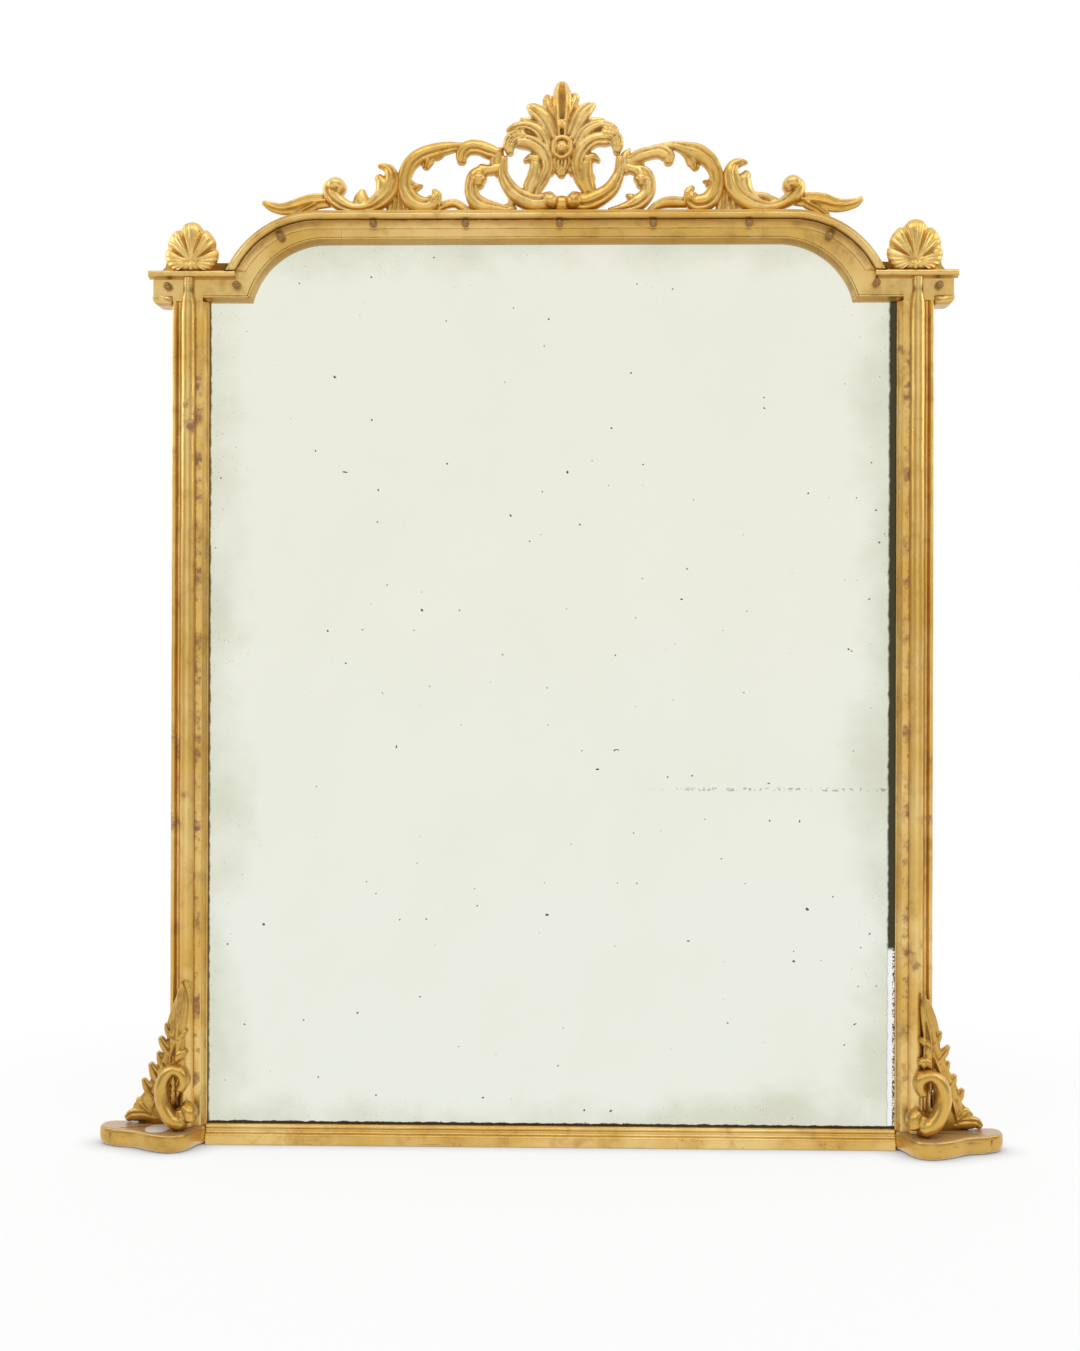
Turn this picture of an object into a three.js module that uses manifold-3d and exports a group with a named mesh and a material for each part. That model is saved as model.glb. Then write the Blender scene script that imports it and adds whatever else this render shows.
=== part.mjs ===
// A giltwood pier mirror: an arched frame with half-round columns, a pierced carved crest,
// corner shells, ball studs and two serpentine shelves, standing on the floor.
// Millimetres. +X is to the right, the front faces -Y, +Z is up. The origin is on the floor,
// under the middle of the base rail. "Depth" is measured forwards from the flat back plane.
import * as THREE from 'three';
import { mergeVertices } from 'three/addons/utils/BufferGeometryUtils.js';
import Module from 'manifold-3d';

const wasm = await Module();
wasm.setup();

// ---------------------------------------------------------------- driving dimensions
const seam = 0.3;                 // gap left between two pieces that touch

// Opening and outline
const sightHalfWidth = 572;       // middle to the glass edge at a pilaster
const pilasterWidth = 60;         // glass edge to the outer edge of a pilaster
const notchHeight = 1404;         // level of the sight edge under the ears
const archRise = 97;              // top of the visible glass above that level
const headBand = 54;              // frieze, from the sight edge to the top edge
const sightArcRadius = 128;       // inner arc of a shoulder
const sightArcInset = 196;        // its centre from the sight edge
const outerArcRadius = 170;       // outer arc of a shoulder
const outerArcInset = 183;        // its centre from the sight edge, at the left
const rightArcShift = 8;          // the right shoulder is set this much further out
const headJointInset = 26;        // from the sight arc's centre to the joint with the straight head

// Depths, from the back plane
const railDepth = 48;             // the base rail; the back plane is half of this behind the origin
const boardDepth = 44;            // frieze boards and pilaster flats
const stileDepth = 34;            // pine stiles behind the pilasters
const backboardThickness = 8.7;
const backRebate = 10;            // rebate for the backboards
const glassFront = 26;            // front face of the plate
const glassThickness = 4;
const columnDepth = 60;           // crown of the half-round columns
const lipDepth = 60;              // crown of the projecting lip

// Glass pocket and mouldings
const glassLap = 6;               // the plate runs this far behind the sight moulding
const sightWidth = 9;             // width of the sight moulding
const backboardLap = 19;          // the backboards run this far past the sight edge
const columnWidth = 25;
const columnInset = 19.7;         // sight edge to the column
const beadRise = 4.3;             // the pilaster's outer bead stands this far proud
const lipWidth = 12;
const lipInset = 5;               // flat band of the board outside the lip
const earRise = 8;                // underside of the ears above the sight edge under them
const earHeight = 41;
const earOverhang = 32;           // ear beyond the pilaster
const lipReturn = 6;              // the ear's lip ends this far past the ear
const earLipHeight = 11;
const ovoloHeight = 15;
const ovoloOverhang = 34;
const ovoloDepth = 49;

// Base
const railHeight = 33;
const shelfHeight = 30;
const shelfEdge = 5;              // rounding of the shelf's edges
const shelfReach = 178;           // sight edge to the shelf's outer end

// Studs, shells, crest, hangers
const studDiameter = 13;
const studNeck = 3;
const plinthHeight = 15.5;
const plinthReach = 18;           // plinth beyond the pilaster
const plinthDepth = 40;
const shellFront = 62;
const crestCentre = 14;           // the crest stands a little to the right of the middle
const crestBack = 6;              // depth of the crest's back
const crestHeight = 219;
const crestRelief = 37;           // the boss stands this far in front of the crest's back
const crestOverrun = 113;         // the crest's tips lie this far past the outer arcs' centres
const crestCutShare = 0.1942;     // joint of the cartouche with an inner scroll, along the crest
const crestOuterCutShare = 0.5388; // joint of an inner with an outer scroll
const ringRadius = 7;             // hanging ring, middle of the wire
const ringWire = 3;
const hangerOut = 111;            // hanging ring from the outer arc's centre, at the left
const hangerDrop = 39;            // and below the top of the frame
const hangerPlateThickness = 1.5;
const ringFold = 165;             // the right ring hangs folded down by this angle

// ---------------------------------------------------------------- derived places
const backY = railDepth / 2;
const frameHalfWidth = sightHalfWidth + pilasterWidth;
const sightTop = notchHeight + archRise;
const frameTop = sightTop + headBand;
const earBottom = notchHeight + earRise;
const earTop = earBottom + earHeight;
const sightArcCentre = sightHalfWidth - sightArcInset;
const outerArcCentre = sightHalfWidth - outerArcInset;
const headJoint = sightArcCentre - headJointInset;
const sightArcLevel = sightTop - sightArcRadius;
const outerArcLevel = frameTop - outerArcRadius;
const sides = [['left', -1], ['right', 1]];

const paint = {
  gilt: { color: 0xc9a24e, roughness: 0.45, metalness: 0.6 },
  giltDark: { color: 0xa87a35, roughness: 0.55, metalness: 0.5 },
  stud: { color: 0x8a5f2a, roughness: 0.5, metalness: 0.5 },
  pine: { color: 0x8d6b48, roughness: 0.85, metalness: 0 },
  glass: { color: 0xdfe3d6, roughness: 0.08, metalness: 0.9 },
  iron: { color: 0x2b2723, roughness: 0.6, metalness: 0.7 },
};

const group = new THREE.Group();

function addPiece(name, geometry, look) {
  const material = new THREE.MeshStandardMaterial(paint[look]);
  const mesh = new THREE.Mesh(geometry, material);
  mesh.name = name;
  group.add(mesh);
}

// ---------------------------------------------------------------- solids
// The mesh with shared corners and positions only.
function stripped(geometry) {
  const bare = geometry.clone();
  bare.deleteAttribute('normal');
  bare.deleteAttribute('uv');
  return mergeVertices(bare, 1e-4);
}

function toSolid(geometry) {
  const merged = stripped(geometry);
  return new wasm.Manifold(new wasm.Mesh({
    numProp: 3,
    vertProperties: new Float32Array(merged.attributes.position.array),
    triVerts: new Uint32Array(merged.index.array),
  }));
}

function toGeometry(solid) {
  const mesh = solid.getMesh();
  const geometry = new THREE.BufferGeometry();
  geometry.setAttribute('position', new THREE.BufferAttribute(mesh.vertProperties, 3));
  geometry.setIndex(new THREE.BufferAttribute(mesh.triVerts, 1));
  return geometry;
}

const join = (solids) => wasm.Manifold.union(solids);

// A closed body lofted through rings of equal length, in order along its path.
function loft(rings) {
  const count = rings[0].length;
  const positions = rings.flat().flatMap((p) => [p.x, p.y, p.z]);
  const index = [];
  for (let r = 0; r < rings.length - 1; r += 1) {
    for (let i = 0; i < count; i += 1) {
      const a = r * count + i;
      const b = r * count + ((i + 1) % count);
      index.push(a, b, a + count, b, b + count, a + count);
    }
  }
  const flat = flattenRing(rings[0]);
  const last = (rings.length - 1) * count;
  for (const [a, b, c] of THREE.ShapeUtils.triangulateShape(flat, [])) {
    index.push(a, c, b);
    index.push(last + a, last + b, last + c);
  }
  const geometry = new THREE.BufferGeometry();
  geometry.setAttribute('position', new THREE.Float32BufferAttribute(positions, 3));
  geometry.setIndex(index);
  return outward(geometry);
}

// A ring's points in its own plane, so that its end can be closed.
function flattenRing(ring) {
  const normal = new THREE.Vector3();
  for (let i = 0; i < ring.length; i += 1) {
    normal.add(new THREE.Vector3().crossVectors(ring[i], ring[(i + 1) % ring.length]));
  }
  const across = ring[1].clone().sub(ring[0]).normalize();
  const up = new THREE.Vector3().crossVectors(normal.normalize(), across);
  return ring.map((p) => new THREE.Vector2(p.dot(across), p.dot(up)));
}

// Turns a closed mesh's faces out when they point in.
function outward(geometry) {
  const p = geometry.attributes.position;
  const index = geometry.index.array;
  const [a, b, c] = [new THREE.Vector3(), new THREE.Vector3(), new THREE.Vector3()];
  let volume = 0;
  for (let i = 0; i < index.length; i += 3) {
    a.fromBufferAttribute(p, index[i]);
    b.fromBufferAttribute(p, index[i + 1]);
    c.fromBufferAttribute(p, index[i + 2]);
    volume += a.dot(b.cross(c));
  }
  if (volume < 0) {
    for (let i = 0; i < index.length; i += 3) {
      [index[i + 1], index[i + 2]] = [index[i + 2], index[i + 1]];
    }
  }
  return geometry;
}

// An upright outline [x, z] given thickness from one depth to another.
function slab(outline, fromDepth, toDepth) {
  const shape = new THREE.Shape(outline.map(([x, z]) => new THREE.Vector2(x, z)));
  const geometry = new THREE.ExtrudeGeometry(shape, { depth: toDepth - fromDepth, bevelEnabled: false });
  geometry.rotateX(Math.PI / 2);
  geometry.translate(0, backY - fromDepth, 0);
  return geometry;
}

function block(x0, x1, depth0, depth1, z0, z1) {
  const geometry = new THREE.BoxGeometry(Math.abs(x1 - x0), depth1 - depth0, z1 - z0);
  geometry.translate((x0 + x1) / 2, backY - (depth0 + depth1) / 2, (z0 + z1) / 2);
  return geometry;
}

const mirrored = (outline, side) => outline.map(([x, z]) => [x * side, z]);

// Points of an arc about [cx, cz], angles in degrees from +X.
function arc(cx, cz, radius, fromAngle, toAngle, steps) {
  const points = [];
  for (let i = 0; i <= steps; i += 1) {
    const angle = THREE.MathUtils.degToRad(fromAngle + ((toAngle - fromAngle) * i) / steps);
    points.push([cx + radius * Math.cos(angle), cz + radius * Math.sin(angle)]);
  }
  return points;
}

// Angle at which an arc about height cz passes a level.
const angleAt = (level, cz, radius) => THREE.MathUtils.radToDeg(Math.asin((level - cz) / radius));

// A moulding: profile [outwards, depth] carried along a path of [x, z] points. "Outwards" is
// to the left of the direction of travel, or to the right of it on the left half (side -1).
function moulding(path, profile, side = 1) {
  const rings = path.map(([x, z], i) => {
    const before = path[Math.max(i - 1, 0)];
    const after = path[Math.min(i + 1, path.length - 1)];
    const along = new THREE.Vector2(after[0] - before[0], after[1] - before[1]).normalize();
    return profile.map(([out, depth]) => new THREE.Vector3(
      x - along.y * out * side,
      backY - depth,
      z + along.x * out * side,
    ));
  });
  return loft(rings);
}

const arcCentre = (side) => outerArcCentre + (side > 0 ? rightArcShift : 0);

// Right half of the sight edge grown outwards by "grow", from the foot up to the head.
function halfOpening(grow, foot) {
  const radius = sightArcRadius + grow;
  const start = angleAt(notchHeight + grow, sightArcLevel, radius);
  return [
    [sightHalfWidth + grow, foot],
    [sightHalfWidth + grow, notchHeight + grow],
    ...arc(sightArcCentre, sightArcLevel, radius, start, 90, 12),
  ];
}

function opening(grow, foot) {
  const half = halfOpening(grow, foot);
  return [...half, ...mirrored(half, -1).reverse()];
}

// ---------------------------------------------------------------- plate and backing
const glassFoot = shelfHeight + seam;
const glassBack = glassFront - glassThickness;
addPiece('mirror_plate', slab(opening(glassLap, glassFoot), glassBack, glassFront), 'glass');

const backboardFoot = shelfHeight + 2 * seam;
const backboardFront = backRebate - seam;
const backboardSolid = toSolid(slab(
  opening(backboardLap, backboardFoot),
  backboardFront - backboardThickness,
  backboardFront,
));
const backboardCount = 3;
const backboardTop = sightTop + backboardLap;
const backboardHeight = (backboardTop - backboardFoot) / backboardCount;
for (let i = 0; i < backboardCount; i += 1) {
  const reach = sightHalfWidth + 2 * backboardLap;
  const low = backboardFoot + i * backboardHeight;
  const keep = toSolid(block(-reach, reach, -1, backRebate, low + seam, low + backboardHeight));
  addPiece(`backboard_${i + 1}`, toGeometry(backboardSolid.intersect(keep)), 'pine');
}

// ---------------------------------------------------------------- head and shoulders
const boardLap = sightWidth + seam;
const rebateCutter = toSolid(slab(opening(backboardLap + seam, 0), -1, backRebate));

addPiece('frieze_head', toGeometry(toSolid(slab([
  [-headJoint + seam, sightTop + boardLap],
  [headJoint - seam, sightTop + boardLap],
  [headJoint - seam, frameTop],
  [-headJoint + seam, frameTop],
], 0, boardDepth)).subtract(rebateCutter)), 'gilt');

// The outer edge of a shoulder from one level up to the straight head.
function outerEdge(side, grow, level, steps) {
  const radius = outerArcRadius + grow;
  const start = angleAt(level, outerArcLevel, radius);
  return arc(arcCentre(side), outerArcLevel, radius, start, 90, steps);
}

for (const [name, side] of sides) {
  const radius = sightArcRadius + boardLap;
  const sightStart = angleAt(notchHeight + boardLap, sightArcLevel, radius);
  const outline = [
    [headJoint, sightTop + boardLap],
    ...arc(sightArcCentre, sightArcLevel, radius, 90, sightStart, 12),
    [sightHalfWidth + boardLap, notchHeight + boardLap],
    [sightHalfWidth + boardLap, notchHeight],
    [frameHalfWidth, notchHeight],
    [frameHalfWidth, earBottom],
    [frameHalfWidth + earOverhang, earBottom],
    [frameHalfWidth + earOverhang, earTop],
    ...outerEdge(side, 0, earTop, 12),
    [headJoint, frameTop],
  ];
  const solid = toSolid(slab(mirrored(outline, side), 0, boardDepth));
  addPiece(`frieze_shoulder_${name}`, toGeometry(solid.subtract(rebateCutter)), 'gilt');
}

// ---------------------------------------------------------------- lip
const lipProfile = [
  [-lipInset, boardDepth + seam],
  [-lipInset, lipDepth - 7],
  [-lipInset - 2, lipDepth - 2.5],
  [-lipInset - 5, lipDepth],
  [-lipInset - 9, lipDepth],
  [-lipInset - lipWidth, lipDepth - 4],
  [-lipInset - lipWidth, boardDepth + seam],
];
const lipHeadPath = [[-headJoint + seam, frameTop], [headJoint - seam, frameTop]];
addPiece('lip_head', moulding(lipHeadPath, lipProfile), 'gilt');

for (const [name, side] of sides) {
  const level = earTop + seam;
  const path = [[headJoint, frameTop], ...outerEdge(side, 0, level, 14).reverse()];
  const start = path[path.length - 1];
  path.push([start[0] + 6, start[1] - lipWidth]);
  const below = toSolid(block(0, side * 2 * frameHalfWidth, 0, 2 * lipDepth, 0, level));
  const whole = toSolid(moulding(mirrored(path, side), lipProfile, side));
  addPiece(`lip_shoulder_${name}`, toGeometry(whole.subtract(below)), 'gilt');

  const innerRadius = outerArcRadius - lipInset - lipWidth;
  const earLipStart = arcCentre(side) + Math.sqrt(innerRadius ** 2 - (earTop - outerArcLevel) ** 2);
  const earLipEnd = frameHalfWidth + earOverhang + lipReturn;
  const earLip = [
    [earTop, boardDepth + seam],
    [earTop, lipDepth - 4],
    [earTop - 2, lipDepth],
    [earTop - 8, lipDepth + 1],
    [earTop - earLipHeight, lipDepth - 3],
    [earTop - earLipHeight, boardDepth + seam],
  ];
  const rings = [earLipStart, earLipEnd].map((x) => earLip
    .map(([z, depth]) => new THREE.Vector3(side * x, backY - depth, z)));
  addPiece(`lip_ear_${name}`, loft(rings), 'gilt');
}

// ---------------------------------------------------------------- sight mouldings
const sightProfile = [
  [0, glassFront + seam],
  [0, glassFront + 6],
  [5, boardDepth - 2],
  [6.5, boardDepth + 1.5],
  [8, boardDepth + 1.5],
  [sightWidth, boardDepth - 0.5],
  [sightWidth, glassFront + seam],
];
const sightHeadPath = [[-headJoint + seam, sightTop], [headJoint - seam, sightTop]];
addPiece('sight_head', moulding(sightHeadPath, sightProfile), 'gilt');
for (const [name, side] of sides) {
  const start = angleAt(notchHeight, sightArcLevel, sightArcRadius);
  const bend = arc(sightArcCentre, sightArcLevel, sightArcRadius, 90, start, 14);
  const corner = bend[bend.length - 1];
  const tail = [corner[0] + 1.5, corner[1] - 5];
  const path = [[headJoint, sightTop], ...bend, tail];
  const arched = toSolid(moulding(mirrored(path, side), sightProfile, side));
  const notchZone = block(side * corner[0], side * 2 * frameHalfWidth, 0, 2 * lipDepth, 0,
    notchHeight + sightWidth + seam);
  const underside = block(0, side * 2 * frameHalfWidth, 0, 2 * lipDepth, 0, notchHeight);
  const cut = join([toSolid(notchZone), toSolid(underside)]);
  addPiece(`sight_shoulder_${name}`, toGeometry(arched.subtract(cut)), 'gilt');
  const notchPath = [[corner[0] + seam, notchHeight], [sightHalfWidth - seam, notchHeight]];
  addPiece(`sight_notch_${name}`, moulding(mirrored(notchPath, side), sightProfile, side), 'gilt');
}

// ---------------------------------------------------------------- stiles, pilasters, columns
const pilasterProfile = [
  [0, glassFront + seam],
  [sightWidth, glassFront + seam],
  [sightWidth, stileDepth + seam],
  [pilasterWidth, stileDepth + seam],
  [pilasterWidth, boardDepth - 2],
  [pilasterWidth - 1, boardDepth + 2.5],
  [pilasterWidth - 3.5, boardDepth + beadRise],
  [pilasterWidth - 6.5, boardDepth + 4],
  [pilasterWidth - 9, boardDepth + 1],
  [pilasterWidth - 10.5, boardDepth - 2],
  [pilasterWidth - 14, boardDepth - 2],
  [pilasterWidth - 14.5, boardDepth],
  [8.5, boardDepth],
  [7.5, boardDepth - 1],
  [1.5, boardDepth - 10.5],
  [0, boardDepth - 12],
];
const columnSteps = 10;
const columnHeight = columnDepth - boardDepth - seam;

for (const [name, side] of sides) {
  const foot = shelfHeight + seam;
  addPiece(`stile_${name}`, toGeometry(toSolid(block(
    side * (sightHalfWidth + boardLap),
    side * frameHalfWidth,
    0,
    stileDepth,
    foot,
    notchHeight - seam,
  )).subtract(rebateCutter)), 'pine');

  const pilaster = [foot, notchHeight - seam].map((z) => pilasterProfile
    .map(([out, depth]) => new THREE.Vector3(side * (sightHalfWidth + out), backY - depth, z)));
  addPiece(`pilaster_${name}`, loft(pilaster), 'gilt');

  const round = arc(columnInset + columnWidth / 2, 0, columnWidth / 2, 0, 180, columnSteps)
    .map(([out, rise]) => [out, boardDepth + seam + (rise * 2 * columnHeight) / columnWidth]);
  const column = [foot, earTop - earLipHeight - seam].map((z) => round
    .map(([out, depth]) => new THREE.Vector3(side * (sightHalfWidth + out), backY - depth, z)));
  addPiece(`column_${name}`, loft(column), 'gilt');

  // Small ovolo under the outer end of the ear, rounded at its end.
  const ovoloTop = earBottom - seam;
  const inner = frameHalfWidth + seam;
  const end = frameHalfWidth + ovoloOverhang;
  const ovolo = [
    [inner, ovoloTop],
    [inner, ovoloTop - ovoloHeight],
    [end - ovoloHeight, ovoloTop - ovoloHeight],
    ...arc(end - ovoloHeight, ovoloTop, ovoloHeight, -75, 0, 5),
  ];
  addPiece(`ear_ovolo_${name}`, slab(mirrored(ovolo, side), 0, ovoloDepth), 'gilt');
}

// ---------------------------------------------------------------- base rail and shelves
const railProfile = [
  [0, 0],
  [railDepth, 0],
  [railDepth, railHeight - 17],
  [railDepth - 1.5, railHeight - 15],
  [railDepth - 5, railHeight - 13.5],
  [railDepth - 8, railHeight - 10],
  [railDepth - 9, railHeight - 6],
  [railDepth - 8, railHeight - 5],
  [railDepth - 9, railHeight - 2],
  [railDepth - 12, railHeight],
  [glassFront + seam, railHeight],
  [glassFront + seam, shelfHeight],
  [0, shelfHeight],
];
const railHalf = sightHalfWidth - seam;
addPiece('base_rail', loft([-railHalf, railHalf].map((x) => railProfile
  .map(([depth, z]) => new THREE.Vector3(x, backY - depth, z)))), 'gilt');

// Serpentine front of a shelf: [out from the sight edge, depth], chosen by hand.
const shelfFront = [[0, 46], [7, 58], [15, 90], [30, 115], [55, 121], [83, 107], [116, 81], [150, 72]];
const shelfCorner = 22;
for (const [name, side] of sides) {
  const front = new THREE.SplineCurve(shelfFront.map(([out, depth]) => new THREE.Vector2(out, depth)));
  const outline = [
    [0, 0],
    ...front.getPoints(21).map((p) => [p.x, p.y]),
    ...arc(shelfReach - shelfCorner, 66 - shelfCorner, shelfCorner, 75, 0, 4),
    [shelfReach, 0],
  ];
  const shape = new THREE.Shape(outline.map(([out, depth]) => new THREE.Vector2(out, -depth)));
  const geometry = new THREE.ExtrudeGeometry(shape, {
    depth: shelfHeight - 2 * shelfEdge,
    bevelSize: shelfEdge,
    bevelThickness: shelfEdge,
    bevelOffset: -shelfEdge,
    bevelSegments: 2,
  });
  geometry.translate(sightHalfWidth, backY, shelfEdge);
  geometry.scale(side, 1, 1);
  addPiece(`shelf_${name}`, outward(stripped(geometry)), 'gilt');
}

// ---------------------------------------------------------------- ball studs
// [x, z] of each stud, from the left ear round to the right one.
const headStudLevel = frameTop - 25;
const headStudPlaces = [-0.846, -0.409, 0.037, 0.48, 0.931];     // shares of the head's half length
const shoulderStudInset = 31.8;   // inside the outer arc
const shoulderStudTurn = 63.8;    // degrees round the arc, from +X
const shoulderStudRadius = outerArcRadius - shoulderStudInset;
const shoulderStudAngle = THREE.MathUtils.degToRad(shoulderStudTurn);
const shoulderStudOut = shoulderStudRadius * Math.cos(shoulderStudAngle);
const shoulderStudLevel = outerArcLevel + shoulderStudRadius * Math.sin(shoulderStudAngle);
const studs = [
  [-frameHalfWidth - 7, earBottom + 16],
  [-sightHalfWidth + 48, notchHeight + 26],
  [-outerArcCentre - shoulderStudOut, shoulderStudLevel],
  ...headStudPlaces.map((share) => [share * headJoint, headStudLevel]),
  [outerArcCentre + rightArcShift + shoulderStudOut, shoulderStudLevel],
  [sightHalfWidth - 36, notchHeight + 28],
  [frameHalfWidth + 7, earBottom + 16],
];
const studRadius = studDiameter / 2;
const studBall = arc(0, studNeck + studRadius, studRadius, -50, 90, 5).slice(0, -1);
const studProfile = [[0, 0], [studRadius * 0.75, 0], [studRadius * 0.75, 1], ...studBall,
  [0, studNeck + 2 * studRadius]];
studs.forEach(([x, z], i) => {
  const geometry = new THREE.LatheGeometry(studProfile.map(([r, h]) => new THREE.Vector2(r, h)), 9);
  geometry.rotateX(Math.PI);
  geometry.translate(x, backY - boardDepth - seam, z);
  addPiece(`ball_stud_${String(i + 1).padStart(2, '0')}`, outward(stripped(geometry)), 'stud');
});

// ---------------------------------------------------------------- carved ribbons
// The carving is built of ribbons. A ribbon is { front, path }: path lists [across, up, half
// width], and front is the height of its crown above the carving's flat back.
const ribbonSection = [[-1, 0], [-1, 0.45], [-0.62, 0.85], [0, 1], [0.62, 0.85], [1, 0.45], [1, 0]];

const trimmed = 1;                // ribbons start this far behind the back, which then cuts them flat
const stagger = 0.02;             // each ribbon is set this far aside from the last one

function ribbonSolids({ front, path }, order, place) {
  const line = new THREE.CatmullRomCurve3(path.map(([u, v, w]) => new THREE.Vector3(u, v, w)));
  const steps = Math.max(3, Math.round((path.length - 1) * 1.35));
  const widest = Math.max(...path.map((p) => p[2]));
  const rings = [];
  for (let i = 0; i <= steps; i += 1) {
    const here = line.getPoint(i / steps);
    const along = line.getTangent(i / steps);
    const slope = new THREE.Vector2(along.x, along.y).normalize();
    const rise = front * (0.55 + (0.45 * here.z) / widest);
    rings.push(ribbonSection.map(([across, height]) => place(
      here.x - slope.y * across * here.z + order * stagger,
      here.y + slope.x * across * here.z + order * stagger,
      height > 0 ? rise * height : -trimmed - order * stagger,
    )));
  }
  return rings.slice(1).map((ring, i) => toSolid(loft([rings[i], ring])));
}

// Facets finer than this are merged where the ribbons run into each other.
const carvingTolerance = 0.25;
const carve = (ribbons, place) => join(ribbons
  .flatMap((ribbon, order) => ribbonSolids(ribbon, order, place)));

// The main body of a cut solid, without crumbs.
function largest(solid) {
  const parts = solid.decompose();
  return parts.reduce((a, b) => (b.volume() > a.volume() ? b : a));
}

// ---------------------------------------------------------------- crest
// Points are [across, up, half width] from the middle of the crest's foot.

const cartouche = [
  { front: 26, path: [[2, 118, 8.5], [2, 151, 11.5], [2, 184, 14], [2, 203, 13], [2, 219, 6]] },
  { front: 30, path: [[2, 101, 15], [2, 88, 16], [1, 75, 13.5], [1, 66, 7.5]] },
  { front: 24, path: [[-21, 11, 9], [1, 15, 13], [22, 11, 9]] },
  { front: 37, path: [[2, 96, 8], [2, 107, 11], [2, 117, 8]] },
  { front: 33, path: [[-14, 17, 9], [-14, 28, 13], [-14, 39, 9]] },
  { front: 33, path: [[21, 15, 10], [21, 27, 14], [21, 39, 10]] },
  // left half
  { front: 16, path: [[-6, 118, 6.5], [-9, 151, 10], [-17, 176, 11], [-22, 193, 8.5], [-24, 199, 4]] },
  { front: 20, path: [[-7, 110, 6.5], [-16, 134, 10], [-27, 156, 11.5], [-41, 170, 11],
    [-51, 177, 7.5], [-55, 179, 3.5]] },
  { front: 18, path: [[-12, 101, 6], [-24, 131, 8.5], [-37, 148, 8.5], [-54, 154, 6], [-67, 157, 3.5]] },
  { front: 22, path: [[-14, 76, 5], [-19, 101, 6.5], [-29, 126, 8.5], [-42, 141, 8.5],
    [-61, 147, 6.5], [-77, 144, 6], [-89, 139, 3.5]] },
  { front: 28, path: [[-62, 129, 9], [-78, 124, 11], [-86, 113, 10], [-85, 101, 6]] },
  { front: 26, path: [[-69, 120, 11], [-51, 117, 11.5], [-34, 106, 11.5], [-23, 90, 10],
    [-22, 73, 9], [-29, 56, 8.5], [-37, 40, 6], [-41, 30, 5]] },
  { front: 20, path: [[-44, 91, 7.5], [-42, 75, 10], [-45, 58, 11.5], [-51, 45, 11], [-52, 36, 9]] },
  { front: 18, path: [[-39, 90, 6.5], [-52, 90, 6], [-63, 91, 2.5]] },
  { front: 17, path: [[-47, 45, 6.5], [-57, 38, 4], [-66, 36, 2]] },
  { front: 28, path: [[-95, 92, 5], [-97, 71, 6.5], [-92, 53, 9], [-79, 35, 11], [-61, 22, 12.5],
    [-39, 16, 14], [-19, 21, 14]] },
  { front: 18, path: [[-6, 85, 6.5], [-14, 71, 6], [-15, 64, 2.5]] },
  // right half
  { front: 16, path: [[9, 121, 6.5], [12, 151, 10], [17, 178, 11], [22, 193, 8.5], [23, 201, 4]] },
  { front: 20, path: [[11, 110, 6.5], [21, 138, 10], [32, 161, 11.5], [44, 174, 10], [52, 179, 6.5],
    [56, 181, 3.5]] },
  { front: 18, path: [[17, 101, 6], [27, 129, 8.5], [42, 147, 8.5], [61, 154, 6], [72, 155, 3.5]] },
  { front: 22, path: [[21, 76, 5], [24, 101, 6.5], [32, 124, 8.5], [46, 140, 8.5], [66, 148, 6.5],
    [82, 145, 6], [94, 139, 3.5]] },
  { front: 28, path: [[71, 132, 9], [87, 127, 10], [94, 115, 10], [93, 102, 6]] },
  { front: 26, path: [[76, 123, 11], [57, 122, 11], [39, 110, 11.5], [28, 91, 10], [27, 73, 9],
    [32, 55, 8.5], [39, 40, 6], [44, 30, 5]] },
  { front: 20, path: [[46, 91, 7.5], [42, 75, 11], [42, 58, 12.5], [47, 43, 11], [51, 35, 8.5]] },
  { front: 18, path: [[42, 90, 6.5], [56, 91, 6], [63, 88, 3]] },
  { front: 17, path: [[47, 66, 6.5], [54, 61, 4], [56, 55, 2]] },
  { front: 28, path: [[98, 92, 5], [98, 71, 7.5], [93, 55, 9], [81, 37, 10], [62, 24, 11.5],
    [42, 18, 14], [22, 21, 14]] },
  { front: 18, path: [[9, 85, 6.5], [17, 71, 6], [18, 64, 2.5]] },
];
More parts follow.
